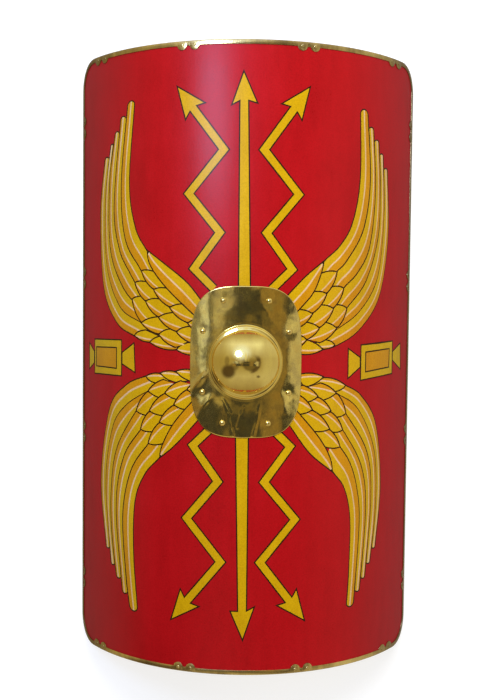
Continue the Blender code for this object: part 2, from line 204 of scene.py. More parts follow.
# The wings were painted freehand, so each has its own few key points, as distances out from the
# centre line and up or down from the middle. edges: the leading edge of the first long feather and
# the outer edges of all five, from under the coverts to the tips. leaf: the upper and lower edges
# of the big covert from its tip. coverts: tip, heel and breadth of the small ones, undermost first.
WINGS = {
    (-1, 1): dict(
        edges=(((158, 158), (177, 187), (200, 224), (214, 300), (202, 438)),
               ((178, 132), (192, 154), (226, 206), (235.5, 300), (220, 438)),
               ((187, 110), (214, 146), (240, 188), (254, 262), (237, 414)),
               ((190, 84), (232, 124), (264, 190), (267, 300), (251, 390)),
               ((172, 50), (189, 62), (237, 88), (273, 159), (279, 270), (263, 370)),
               ((168, 28), (204, 39), (246, 61), (283, 123), (294, 250), (280, 349))),
        leaf=(((177, 187), (140, 162), (100, 132), (73, 100), (58, 78)),
              ((177, 187), (171, 160), (140, 122), (85, 73), (68, 58))),
        coverts=((204, 40, 171, 28.5, 19), (171, 29, 120, 17, 21), (120, 18, 84, 9, 21),
                 (209, 103, 188, 62, 27), (189, 62, 153, 43, 32), (153, 43, 120, 21, 22),
                 (203, 131, 181, 99, 27), (180, 99, 154, 72, 26), (154, 72, 120, 48, 29),
                 (120, 48, 88, 28, 22),
                 (189, 151, 165, 119, 27), (164, 119, 133, 89, 28), (133, 89, 100, 63, 30),
                 (100, 63, 72, 42, 27))),
    (1, 1): dict(
        edges=(((118, 152), (134, 171.5), (162, 196), (187, 236), (202, 310), (200.5, 428)),
               ((144, 135), (159, 152), (178, 170), (214, 226), (228, 310), (219, 428)),
               ((158, 106), (173, 124.5), (203, 152), (229, 197), (241, 290), (234, 400)),
               ((164, 74), (181, 92), (221, 137), (250, 214), (253.5, 300), (248, 380)),
               ((144, 44), (161, 55), (208, 86), (250, 144.5), (265, 250), (260, 358)),
               ((126, 18), (160, 27), (208, 54), (255.5, 112), (278, 215), (273, 334.5))),
        leaf=(((134, 171.5), (101, 145.5), (70, 114), (52, 92)),
              ((134, 171.5), (129, 149), (114.5, 115), (90, 87), (68, 64))),
        coverts=((157, 27.5, 134, 20.5, 15), (180, 91, 161, 57, 24), (160, 57, 126, 31, 32),
                 (134, 20.5, 94, 12, 31),
                 (173, 125, 153, 90, 26), (153, 90, 127, 57, 27), (127, 57, 104, 37, 27),
                 (104, 37, 80, 20, 19),
                 (159, 152, 140, 115, 29), (140, 115, 114, 81, 28), (114, 81, 90, 57, 27),
                 (90, 57, 68, 38, 22))),
    (-1, -1): dict(
        edges=(((133, 148), (150, 168), (177, 196), (198, 244), (201, 330), (191, 438)),
               ((160, 125), (173, 143), (210, 192), (229, 270), (221, 374), (210.5, 438)),
               ((174, 102), (189, 120), (228, 172), (246, 260), (229, 411)),
               ((182, 72), (199, 89), (246, 160), (260, 240), (257, 312), (244, 387)),
               ((156, 43), (174, 53), (222, 80), (256, 122), (275, 220), (259, 366)),
               ((150, 20.5), (179, 27.5), (222, 45), (265, 90), (290, 215), (273, 339))),
        leaf=(((150, 168), (119, 143), (83, 104), (65, 80)),
              ((150, 168), (146, 146), (124.5, 106), (92, 68), (72, 48))),
        coverts=((179, 28, 150, 21, 19), (199, 89, 174, 53, 29), (174, 53, 142, 31, 33),
                 (150, 21, 121, 17, 25),
                 (189, 120, 171, 87, 26), (171, 87, 141, 55, 29), (141, 55, 110, 32, 30),
                 (121, 17, 86, 14, 31),
                 (173, 143, 151, 105, 27), (151, 105, 124, 74, 28), (124, 74, 100, 47, 28),
                 (100, 47, 76, 28, 22))),
    (1, -1): dict(
        edges=(((140, 168), (156, 190), (178, 218), (191, 270), (190, 360), (185.5, 426)),
               ((155, 125), (170, 145), (190, 172), (206, 214), (214, 280), (203.5, 426)),
               ((161, 97), (175.5, 117), (217, 182), (229, 260), (217, 402)),
               ((166, 72), (181, 89), (230, 158), (242, 240), (229.5, 381)),
               ((144, 43), (161, 53), (207, 82), (248, 156), (255, 250), (241.5, 357)),
               ((140, 25), (180, 40), (215, 60), (252, 112), (267.5, 220), (255, 332))),
        leaf=(((156, 190), (110, 154), (74, 106), (60, 84)),
              ((156, 190), (150, 162), (128, 126), (84.5, 77), (64, 56))),
        coverts=((180, 40.5, 136, 25, 21), (181, 89, 162, 53, 22), (161, 53, 128, 34, 35),
                 (136, 24.5, 95, 18, 32),
                 (175, 117, 151, 84, 22), (151, 83, 126, 58, 25), (126, 58, 97, 37, 27),
                 (97, 37, 78, 20, 18),
                 (170, 146, 149, 114, 30), (149, 114, 116, 80, 30), (116, 80, 90, 53, 29),
                 (90, 53, 68, 36, 22))),
}

painting = []                 # (colour, outline) in the order in which they are painted


def lay(colour, outline):
    """Add one closed area to the painting, without points that fall together."""
    points = [np.asarray(p, float) for p in outline]
    apart = [p for p, q in zip(points, points[1:] + points[:1]) if hypot(*(p - q)) > 0.05]
    if len(apart) > 2:
        painting.append((colour, np.array(apart)))


def grown(outline, distance):
    """A straight-sided outline moved outwards by this distance, with mitred corners."""
    points = np.array(outline, float)
    before, after = np.roll(points, 1, axis=0), np.roll(points, -1, axis=0)
    turning = np.sum(before[:, 0] * points[:, 1] - before[:, 1] * points[:, 0])
    moved = []
    for a, b, c in zip(before, points, after):
        one, two = (b - a) / hypot(*(b - a)), (c - b) / hypot(*(c - b))
        normal_one = np.array((one[1], -one[0])) * np.sign(turning)
        normal_two = np.array((two[1], -two[0])) * np.sign(turning)
        middle = normal_one + normal_two
        moved.append(b + middle * distance / (1 + normal_one @ normal_two))
    return moved


def lined(colour, outline):
    """An area with a dark line round it."""
    lay(LINE, grown(outline, LINE_WIDTH))
    lay(colour, outline)


def along_polyline(corners, half_width):
    """The outline of a straight-sided band that follows these corners, mitred at each."""
    corners = [np.array(c, float) for c in corners]
    left, right = [], []
    for i, corner in enumerate(corners):
        first = max(i - 1, 0)
        pairs = zip(corners[first:i + 1], corners[first + 1:i + 2])
        runs = [(b - a) / hypot(*(b - a)) for a, b in pairs]
        normals = [np.array((-run[1], run[0])) for run in runs]
        side = normals[0] if len(normals) == 1 else (normals[0] + normals[1]) / (1 + normals[0] @ normals[1])
        left.append(corner + side * half_width)
        right.append(corner - side * half_width)
    return left + right[::-1]


def paint_bolt(side, end):
    """A zigzag thunderbolt with an arrow's head."""
    place = np.array((side, end), float)
    corners = [DESIGN_CENTRE + place * c for c in BOLT_CORNERS]
    tip = DESIGN_CENTRE + place * BOLT_TIPS[side, end]
    back = (corners[0] - tip) / hypot(*(corners[0] - tip))
    across = np.array((-back[1], back[0]))
    head = [tip, tip + back * HEAD_LENGTH + across * HEAD_HALF_WIDTH,
            tip + back * HEAD_NOTCH + across * BOLT_HALF_WIDTH,
            tip + back * HEAD_NOTCH - across * BOLT_HALF_WIDTH,
            tip + back * HEAD_LENGTH - across * HEAD_HALF_WIDTH]
    shaft = [tip + back * (HEAD_NOTCH - LINE_WIDTH)] + corners
    lay(LINE, along_polyline(shaft, BOLT_HALF_WIDTH + LINE_WIDTH))
    lay(LINE, grown(head, LINE_WIDTH))
    lay(YELLOW, along_polyline(shaft, BOLT_HALF_WIDTH))
    lay(YELLOW, head)


def paint_spear(foot, foot_half, neck, neck_half, tip, barbs):
    """One half of the spear down the middle."""
    shaft = [(foot[0] - foot_half, foot[1]), (neck[0] - neck_half, neck[1]),
             (neck[0] + neck_half, neck[1]), (foot[0] + foot_half, foot[1])]
    head = [tip, barbs[0], (neck[0] - neck_half, neck[1]), (neck[0] + neck_half, neck[1]), barbs[1]]
    lay(LINE, grown(shaft, LINE_WIDTH))
    lay(LINE, grown(head, LINE_WIDTH))
    lay(YELLOW, head)
    lay(YELLOW, shaft)


def paint_tablet(frame, panel, tails):
    for tail in tails:
        lined(YELLOW, tail)
    lined(YELLOW, frame)
    lined(ORANGE, panel)


def smooth(keys, steps=10):
    """Points of a Catmull-Rom curve through the key points."""
    k = [np.array(p, float) for p in keys]
    k = [2 * k[0] - k[1]] + k + [2 * k[-1] - k[-2]]
    points = []
    for a, b, c, d in zip(k, k[1:], k[2:], k[3:]):
        for i in range(steps):
            x = i / steps
            points.append(b + 0.5 * ((c - a) * x + (2 * a - 5 * b + 4 * c - d) * x ** 2
                                     + (3 * b - a - 3 * c + d) * x ** 3))
    return np.array(points + [k[-2]])


def run_of(curve):
    """How far along a curve each of its points is."""
    return np.concatenate(([0.0], np.cumsum(np.hypot(*np.diff(curve, axis=0).T))))


def part_way(curve, fractions):
    """Points at these fractions of a curve's length."""
    run = run_of(curve)
    return np.stack([np.interp(fractions * run[-1], run, curve[:, i]) for i in (0, 1)], axis=1)


def up_to(curve, height):
    """A curve that rises to its end, cut off at this height."""
    last = int(np.argmax(curve[:, 1] > height)) or len(curve) - 1
    a, b = curve[last - 1], curve[last]
    share = min((height - a[1]) / (b[1] - a[1]), 1.0)
    return np.vstack((curve[:last], a + (b - a) * share))


def paint_feather(place, outer, inner, quill, blunt, tucked=0.0):
    """A feather between its outer and inner edges, both given from the tip to the root.

    Inside its dark line a pale quill has orange on its outer side and yellow on its inner side.
    A tucked feather goes on under its inner neighbour.
    """
    length = (run_of(outer)[-1] + run_of(inner)[-1]) / 2
    tip_half = hypot(*(outer[0] - inner[0])) / 2

    def stations(inset):
        cap = max(tip_half - inset, 0.0) if blunt else 0.0
        round_end = [cap * (1 - cos(radians(a))) for a in range(0, 90, 15)] if blunt else [0.0, 0.6, 1.5, 3.0]
        steps = max(4, ceil((length - round_end[-1]) / 5))
        x = np.concatenate((round_end, np.linspace(max(cap, 4.5), length - inset, steps)))
        fractions = (x + (inset if blunt else 0.0)) / length
        one, two = part_way(outer, fractions), part_way(inner, fractions)
        middle, half = (one + two) / 2, (one - two) / 2
        size = np.maximum(np.hypot(half[:, 0], half[:, 1]), 1e-6)
        unit = half / size[:, None]
        reach = size - inset
        if blunt:
            reach = reach * np.sqrt(np.clip(1 - (1 - np.minimum(x / max(cap, 1e-6), 1.0)) ** 2, 0.0, 1.0))
        keep = reach > (0.0 if blunt else 0.15)
        keep[0] = blunt
        return x[keep], middle[keep], unit[keep], np.maximum(reach[keep], 0.0)

    def band(colour, middle, unit, low, high):
        there = middle + unit * low[:, None]
        back = middle + unit * high[:, None]
        lay(colour, [p * place for p in list(there) + list(back[::-1])])

    x, middle, unit, reach = stations(0.0)
    hidden = tucked * np.minimum(reach / max(tip_half, 1.0), 1.0)
    band(LINE, middle, unit, reach, -reach - hidden)
    x, middle, unit, reach = stations(LINE_WIDTH)
    hidden = (tucked + LINE_WIDTH) * np.minimum(reach / max(tip_half, 1.0), 1.0) if tucked else 0 * reach
    width = quill * (1.0 if blunt else 1.0 + 1.6 * np.exp(-x / 6.0))
    pale = np.minimum(reach, width)
    band(ORANGE, middle, unit, reach, pale)
    band(YELLOW, middle, unit, -pale, -reach - hidden)
    band(PALE, middle, unit, pale, -pale)


def paint_covert(place, tip_u, tip_v, heel_u, heel_v, breadth):
    """A small covert: its lower edge sags from tip to heel, and an arch leads inwards from its tip.

    Its far side is meant to be hidden by the coverts and the leaf that are painted after it.
    """
    tip, heel = np.array((tip_u, tip_v), float), np.array((heel_u, heel_v), float)
    rise = radians(34 - 0.27 * tip_v)
    arch = (breadth + COVERT_TUCK) * np.array((-cos(rise), sin(rise)))
    crown_side = np.array((-arch[1], arch[0])) / hypot(*arch)
    crown_side = crown_side if crown_side[1] > 0 else -crown_side
    drop = heel - tip
    under_side = np.array((drop[1], -drop[0])) / hypot(*drop)
    under_side = under_side if under_side[1] < 0 else -under_side
    x = np.linspace(0.0, 1.0, 8)[:, None]
    bulge = 4.6 * (1 - x) * x * (2.0 - x) * 1.9
    top = tip + arch * x + crown_side * bulge
    side = tip + drop * x + under_side * hypot(*drop) * 0.085 * 4 * x * (1 - x)
    whole = list(top) + [tip + arch + drop] + list(side[::-1])[:-1]
    lay(LINE, [p * place for p in whole])

    inset = grown(whole, -LINE_WIDTH)
    lay(YELLOW, [p * place for p in inset])
    point, lower = inset[0], [inset[0]] + inset[:len(top):-1]
    far = heel + 0.52 * arch
    quill = [point + (far - point) * f + under_side * hypot(*drop) * 0.06 * 4 * f * (1 - f)
             for f in np.linspace(0.0, 1.0, 6)]
    lay(ORANGE, [p * place for p in quill + lower[::-1][:-1]])
    across = np.array((-(far - point)[1], (far - point)[0])) / hypot(*(far - point))
    half = [1.1 + 1.1 * exp(-f * hypot(*drop) / 7.0) for f in np.linspace(0.0, 1.0, 6)]
    lay(PALE, [p * place for p in [point] + [q + across * h for q, h in list(zip(quill, half))[1:]]
               + [q - across * h for q, h in list(zip(quill, half))[:0:-1]]])


def paint_wing(side, end, edges, leaf, coverts):
    """Five long feathers from the outermost in, then the coverts, then the big leaf on top."""
    place = np.array((side, end), float)
    curves = [smooth(keys) for keys in edges]
    for inner, outer in reversed(list(zip(curves, curves[1:]))):
        first = inner is curves[0]
        top = outer[-1, 1]
        quill = 0.050 * hypot(*(part_way(outer, np.array([0.5])) - part_way(inner, np.array([0.5])))[0])
        paint_feather(place, outer[::-1], up_to(inner, top)[::-1], max(quill, 0.7), blunt=True,
                      tucked=0.0 if first else 1.0)
    for covert in coverts:
        paint_covert(place, *covert)
    upper, lower = (smooth(keys) for keys in leaf)
    paint_feather(place, lower, upper, 1.4, blunt=False)


def paint_design():
    for spear in SPEARS:
        paint_spear(**spear)
    for side, end in BOLT_TIPS:
        paint_bolt(side, end)
    for (side, end), wing in WINGS.items():
        paint_wing(side, end, **wing)
    for tablet in TABLETS:
        paint_tablet(**tablet)


# ---- node materials -----------------------------------------------------------------------------

class Nodes:
    """Short names for building one material's nodes."""

    def __init__(self, name):
        self.material = bpy.data.materials.new(name)
        self.material.use_nodes = True
        self.tree = self.material.node_tree
        self.shader = self.tree.nodes["Principled BSDF"]

    def add(self, kind, **settings):
        node = self.tree.nodes.new(kind)
        for key, value in settings.items():
            if key in node.inputs:
                if isinstance(value, bpy.types.NodeSocket):
                    self.tree.links.new(value, node.inputs[key])
                else:
                    node.inputs[key].default_value = value
            else:
                setattr(node, key, value)
        return node

    def place(self, scale=(1.0, 1.0, 1.0)):
        coordinates = self.add("ShaderNodeTexCoord")
        mapping = self.add("ShaderNodeMapping")
        self.tree.links.new(coordinates.outputs["Object"], mapping.inputs["Vector"])
        mapping.inputs["Scale"].default_value = scale
        return mapping.outputs["Vector"]

    def noise(self, vector, scale, detail=3.0, roughness=0.5):
        node = self.add("ShaderNodeTexNoise", Vector=vector, Scale=scale, Detail=detail, Roughness=roughness)
        return node.outputs["Fac"]

    def ramp(self, value, stops):
        """Colours or grey values over a range of a value, from (position, colour) pairs."""
        node = self.add("ShaderNodeValToRGB", Fac=value)
        elements = node.color_ramp.elements
        for position, _ in stops[2:]:
            elements.new(position)
        for element, (position, colour) in zip(elements, stops):
            element.position = position
            element.color = (*colour, 1.0) if isinstance(colour, tuple) else (colour, colour, colour, 1.0)
        return node.outputs["Color"]

    def mix(self, share, one, two, how='MIX'):
        node = self.add("ShaderNodeMix", data_type='RGBA', blend_type=how)
        for socket, value in zip((node.inputs[0], node.inputs[6], node.inputs[7]), (share, one, two)):
            if isinstance(value, bpy.types.NodeSocket):
                self.tree.links.new(value, socket)
            elif isinstance(value, tuple):
                socket.default_value = (*value, 1.0)
            else:
                socket.default_value = value
        return node.outputs[2]

    def math(self, how, one, two=0.0):
        node = self.add("ShaderNodeMath", operation=how)
        for socket, value in zip(node.inputs, (one, two)):
            if isinstance(value, bpy.types.NodeSocket):
                self.tree.links.new(value, socket)
            else:
                socket.default_value = value
        return node.outputs[0]

    def bump(self, height, distance, strength=1.0, normal=None):
        node = self.add("ShaderNodeBump", Height=height, Distance=distance, Strength=strength)
        if normal is not None:
            self.tree.links.new(normal, node.inputs["Normal"])
        return node.outputs["Normal"]

    def finish(self, **settings):
        for key, value in settings.items():
            socket = self.shader.inputs[key.replace("_", " ")]
            if isinstance(value, bpy.types.NodeSocket):
                self.tree.links.new(value, socket)
            else:
                socket.default_value = (*value, 1.0) if isinstance(value, tuple) else value
        return self.material


def paint_material(name, colour, darker, lighter):
    """Oil paint over a finely grained facing: brushed unevenly, dulled by hands along the side edges, where
    its colour is also darkened by painted shade.
    """
    n = Nodes(name)
    place = n.place()
    clouds = n.noise(place, 7.0, 4.0, 0.6)
    strokes = n.noise(n.place((60.0, 12.0, 60.0)), 1.0, 3.0, 0.6)
    grain = n.noise(place, 420.0, 2.0, 0.55)
    tone = n.math('ADD', n.math('MULTIPLY', clouds, 0.6), n.math('MULTIPLY', strokes, 0.4))
    base = n.ramp(tone, [(0.30, darker), (0.52, colour), (0.74, lighter)])
    base = n.mix(1.0, base, n.ramp(grain, [(0.30, 0.88), (0.62, 1.05)]), 'MULTIPLY')
    parts = n.add("ShaderNodeSeparateXYZ")
    n.tree.links.new(place, parts.inputs[0])
    from_middle = n.math('ADD', n.math('ABSOLUTE', parts.outputs["X"]), n.math('MULTIPLY', clouds, 0.03))
    # painted shade: the paint's colour darkens towards the shield's side edges
    painted_side_shade = n.ramp(n.math('MULTIPLY', from_middle, 3.0), [(0.52, 1.0), (0.96, (0.70, 0.80, 0.80))])
    base = n.mix(1.0, base, painted_side_shade,
                 'MULTIPLY')
    rough = n.math('ADD', n.math('MULTIPLY', grain, 0.14), n.math('MULTIPLY', clouds, 0.12))
    rough = n.math('ADD', rough, n.ramp(n.math('MULTIPLY', from_middle, 3.0), [(0.50, 0.18), (0.90, 0.45)]))
    pores = n.add("ShaderNodeTexVoronoi", Vector=place, Scale=330.0)
    skin = n.math('ADD', n.math('MULTIPLY', pores.outputs["Distance"], 0.6), grain)
    return n.finish(Base_Color=base, Roughness=rough, Normal=n.bump(skin, 0.00020, 0.5),
                    Specular_IOR_Level=0.17)


def wood_material(name, dark, light, rings, along, roughness):
    """Wood grain drawn out along one axis."""
    n = Nodes(name)
    stretched = {'X': (1.0, 14.0, 14.0), 'Y': (14.0, 1.0, 14.0)}[along]
    place = n.place(stretched)
    warp = n.noise(place, 1.6, 4.0, 0.6)
    lines = n.math('FRACT', n.math('MULTIPLY', warp, rings))
    fibre = n.noise(n.place(tuple(60.0 * v for v in stretched)), 1.0, 3.0, 0.7)
    tone = n.math('ADD', n.math('MULTIPLY', lines, 0.35), n.math('MULTIPLY', fibre, 0.65))
    base = n.ramp(tone, [(0.25, dark), (0.75, light)])
    return n.finish(Base_Color=base, Roughness=n.math('ADD', n.math('MULTIPLY', fibre, 0.2), roughness),
                    Normal=n.bump(tone, 0.0003, 0.35))


def plywood_edge_material():
    """Thin layers of wood, light and dark by turns, through the board's thickness."""
    n = Nodes("plywood_edge")
    place = n.add("ShaderNodeUVMap", uv_map="plan").outputs["UV"]
    parts = n.add("ShaderNodeSeparateXYZ")
    n.tree.links.new(place, parts.inputs[0])
    layers = n.math('SINE', n.math('MULTIPLY', parts.outputs["Y"], 7 * 2 * pi))
    fibre = n.noise(n.place(), 300.0, 3.0)
    tone = n.math('ADD', n.math('MULTIPLY', layers, 0.3), fibre)
    return n.finish(Base_Color=n.ramp(tone, [(0.25, (0.20, 0.11, 0.05)), (0.75, (0.55, 0.38, 0.20))]),
                    Roughness=0.75, Normal=n.bump(tone, 0.0002, 0.5))


def brass_material(name, bright, tarnish, amount, roughness, side_shade_strength=0.0, dented_beyond=0.0):
    """Polished sheet brass with a thin uneven tarnish, finger smears and fine scratches.

    Beyond a distance from the middle it may be dented and more deeply stained. Towards the shield's sides its
    colour may be darkened to brown by painted shade.
    """
    n = Nodes(name)
    place = n.place()
    cloud = n.noise(place, 16.0, 5.0, 0.62)
    smear = n.noise(n.place((90.0, 22.0, 60.0)), 1.0, 4.0, 0.6)
    fine = n.noise(n.place((1500.0, 120.0, 700.0)), 1.0, 2.0, 0.5)
    dirt = n.ramp(n.math('ADD', n.math('MULTIPLY', cloud, 0.62), n.math('MULTIPLY', smear, 0.38)),
                  [(0.40, 0.0), (0.66, 1.0)])
    base = n.mix(n.math('MULTIPLY', dirt, amount), bright, tarnish)
    parts = n.add("ShaderNodeSeparateXYZ")
    n.tree.links.new(place, parts.inputs[0])
    # painted shade: towards the shield's sides the brass colour darkens to brown
    if side_shade_strength:
        side = n.math('ADD', n.math('ABSOLUTE', parts.outputs["X"]), n.math('MULTIPLY', cloud, 0.06))
        local_factor = n.math('MULTIPLY', n.ramp(side, [(0.23, 0.0), (0.31, 1.0)]), side_shade_strength)
        base = n.mix(local_factor, base, (0.16, 0.10, 0.045))
    rough = n.math('ADD', n.math('MULTIPLY', dirt, 0.06), n.math('MULTIPLY', fine, 0.04))
    skin = n.math('ADD', n.math('MULTIPLY', smear, 0.6), n.math('MULTIPLY', fine, 0.25))
    normal = n.bump(skin, 0.00016, 0.5)
    if dented_beyond:
        far = n.math('SQRT', n.math('ADD', n.math('MULTIPLY', parts.outputs["X"], parts.outputs["X"]),
                                    n.math('MULTIPLY', parts.outputs["Y"], parts.outputs["Y"])))
        past = n.math('MULTIPLY', n.math('SUBTRACT', far, dented_beyond), 200.0)
        far = n.ramp(past, [(0.0, 0.0), (1.0, 1.0)])
        dents = n.noise(n.place((75.0, 48.0, 60.0)), 1.0, 1.0, 0.4)
        normal = n.bump(n.math('MULTIPLY', dents, far), 0.00022, 0.9, normal)
        stains = n.ramp(n.noise(place, 60.0, 3.0, 0.6), [(0.36, (0.80, 0.80, 0.92)), (0.50, 1.0),
                                                        (0.66, (1.0, 0.95, 0.88))])
        base = n.mix(far, base, n.mix(1.0, base, stains, 'MULTIPLY'))
    return n.finish(Base_Color=base, Metallic=1.0, Roughness=n.math('ADD', rough, roughness), Normal=normal)


# ---- meshes -------------------------------------------------------------------------------------

def new_piece(name, mesh, replaced, materials):
    """Link a piece of the shield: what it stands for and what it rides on."""
    for material in materials:
        mesh.materials.append(material)
    piece = bpy.data.objects.new(name, mesh)
    bpy.context.scene.collection.objects.link(piece)
    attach(piece, BODY)
    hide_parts(*replaced)
    return piece


def mesh_of(name, points, faces, smooth_below=35):
    mesh = bpy.data.meshes.new(name)
    mesh.from_pydata([tuple(p) for p in points], [], faces)
    mesh.validate()
    bm = bmesh.new()
    bm.from_mesh(mesh)
    bmesh.ops.recalc_face_normals(bm, faces=bm.faces)
    bm.to_mesh(mesh)
    bm.free()
    mesh.shade_smooth()
    if smooth_below:
        mesh.set_sharp_from_angle(angle=radians(smooth_below))
    return mesh


class Skin:
    """Points and faces of one mesh in the making."""

    def __init__(self):
        self.points = []
        self.faces = []

    def ring(self, points):
        start = len(self.points)
        self.points += points
        return list(range(start, len(self.points)))

    def bridge(self, one, other, closed=True):
        count = len(one)
        for i in range(count if closed else count - 1):
            j = (i + 1) % count
            self.faces.append((one[i], one[j], other[j], other[i]))

    def cap(self, ring, tip):
        self.points.append(tip)
        for i in range(len(ring)):
            self.faces.append((ring[i], ring[(i + 1) % len(ring)], len(self.points) - 1))


# ---- the board ----------------------------------------------------------------------------------

GRID_S, GRID_T = 9.0, 14.0    # spacing of the loose points that carry the curve, in millimetres


def board_outline():
    """The board's edge under the rim, in millimetres, counter-clockwise."""
    inset = RIM_SHEET + GAP
    half_width = (HALF_ARC - inset) / MM
    half_height = (HALF_HEIGHT - inset) / MM
    radius = (CORNER_RADIUS - inset) / MM
    corners = []
    for turn, (side, end) in enumerate(((1, 1), (-1, 1), (-1, -1), (1, -1))):
        for step in range(13):
            angle = (turn + step / 12) * pi / 2
            corners.append(np.array((side * (half_width - radius) + radius * cos(angle),
                                     end * (half_height - radius) + radius * sin(angle))))
    outline = []
    for a, b in zip(corners, corners[1:] + corners[:1]):
        parts = max(1, round(hypot(*(b - a)) / GRID_S))
        outline += [a + (b - a) * i / parts for i in range(parts)]
    return np.array(outline)


def round_hole(s, t, radius, steps):
    return np.array([(s + radius * cos(2 * pi * i / steps), t + radius * sin(2 * pi * i / steps))
                     for i in range(steps)]) / MM


def rivet_centres():
    return [(side * s, end * t) for s, t in RIVET_PLACES for side in (-1, 1) for end in (-1, 1)]


def within(points, outline):
    """Which of these points lie inside a closed outline."""
    inside = np.zeros(len(points), bool)
    low, high = outline.min(0), outline.max(0)
    near = np.nonzero(np.all((points >= low) & (points <= high), axis=1))[0]
    if not len(near):
        return inside
    s, t = points[near].T
    crossed = np.zeros(len(near), bool)
    for (s1, t1), (s2, t2) in zip(outline, np.roll(outline, -1, axis=0)):
        if t1 == t2:
            continue
        spans = (t1 > t) != (t2 > t)
        crossed ^= spans & (s < s1 + (t - t1) * (s2 - s1) / (t2 - t1))
    inside[near] = crossed
    return inside


def grid_points(outline):
    """Loose points spread over the board, staggered, clear of its edge."""
    rows = []
    low, high = outline.min(0), outline.max(0)
    for row, t in enumerate(np.arange(low[1] + GRID_T / 2, high[1], GRID_T)):
        shift = GRID_S / 2 * (row % 2)
        rows += [(s + shift, t) for s in np.arange(low[0] + GRID_S / 2, high[0] - GRID_S, GRID_S)]
    points = np.array(rows)
    return points[within(points, outline * 0.993)]


def triangulate(loops, loose):
    """A triangulation of the plan whose edges follow all these loops."""
    points = [Vector(p) for loop in loops for p in loop]
    edges = []
    start = 0
    for loop in loops:
        edges += [(start + i, start + (i + 1) % len(loop)) for i in range(len(loop))]
        start += len(loop)
    points += [Vector(p) for p in loose]
    plan, _, faces, origins, _, _ = delaunay_2d_cdt(points, edges, [], 0, 1e-3)
    return np.array([tuple(p) for p in plan]), [tuple(f) for f in faces], origins


def open_edges(faces):
    """The directed edges that only one face has."""
    seen = {(a, b) for face in faces for a, b in zip(face, face[1:] + face[:1])}
    return [(a, b) for a, b in seen if (b, a) not in seen]


def build_board(paints, back_wood, edge_wood):
    """The whole board as one closed mesh: its painted face, its back and its edges."""
    outline = board_outline()
    holes = [round_hole(0.0, 0.0, HAND_HOLE_RADIUS, 72)]
    holes += [round_hole(s, t, RIVET_SHANK_RADIUS + GAP, 12) for s, t in rivet_centres()]
    loose = grid_points(outline)
    plan, faces, _ = triangulate([outline] + holes + [area for _, area in painting], loose)
    middles = plan[np.array(faces)].mean(axis=1)
    kept = within(middles, outline)
    for hole in holes:
        kept &= ~within(middles, hole)
    colours = np.full(len(faces), RED)
    for colour, area in painting:
        colours[within(middles, area)] = colour
    front = [face for face, keep in zip(faces, kept) if keep]
    colours = colours[kept]

    used = sorted({i for face in front for i in face})
    rename = {old: new for new, old in enumerate(used)}
    front = [tuple(rename[i] for i in face) for face in front]
    plan = plan[used]
    border = open_edges(front)
    onward = dict(border)
    loops = []
    while onward:
        start, after = onward.popitem()
        loop = [start]
        while after != start:
            loop.append(after)
            after = onward.pop(after)
        loops.append(loop)
    back_plan, back_faces, origins = triangulate([plan[loop] for loop in loops], loose)
    back_middles = back_plan[np.array(back_faces)].mean(axis=1)
    back_kept = within(back_middles, outline)
    for hole in holes:
        back_kept &= ~within(back_middles, hole)
    flat_loops = [i for loop in loops for i in loop]
    behind = {flat_loops[o]: len(plan) + new for new, sources in enumerate(origins) for o in sources
              if o < len(flat_loops)}
    back = [tuple(len(plan) + i for i in reversed(face)) for face, keep in zip(back_faces, back_kept) if keep]

    points = [on_shield(s * MM, t * MM) for s, t in plan]
    points += [on_shield(s * MM, t * MM, BOARD_BACK) for s, t in back_plan]
    walls = [(b, a, behind[a], behind[b]) for a, b in border]
    mesh = bpy.data.meshes.new("painted_board")
    mesh.from_pydata([tuple(p) for p in points], [], front + back + walls)
    places = np.vstack((plan, back_plan)) * MM
    set_board_surface(mesh, places, len(front), len(back), colours)
    board = new_piece("painted_board", mesh, ["board"], paints + [back_wood, edge_wood])
    loosen(board)
    return board


def loosen(board):
    """Drop points that no face uses."""
    bm = bmesh.new()
    bm.from_mesh(board.data)
    bmesh.ops.delete(bm, geom=[v for v in bm.verts if not v.link_faces], context='VERTS')
    bm.to_mesh(board.data)
    bm.free()


# where each colour's faces go on the map for baking, as corner and size; red and the back get most
BAKE_TILES = {RED: (0.00, 0.00, 0.62, 1.00), LINE: (0.64, 0.00, 0.17, 0.24), YELLOW: (0.64, 0.26, 0.17, 0.24),
              ORANGE: (0.83, 0.26, 0.17, 0.24), PALE: (0.83, 0.00, 0.17, 0.24),
              "back": (0.64, 0.52, 0.36, 0.48)}
EDGE_TILE = (0.64, 0.245, 0.36, 0.01)


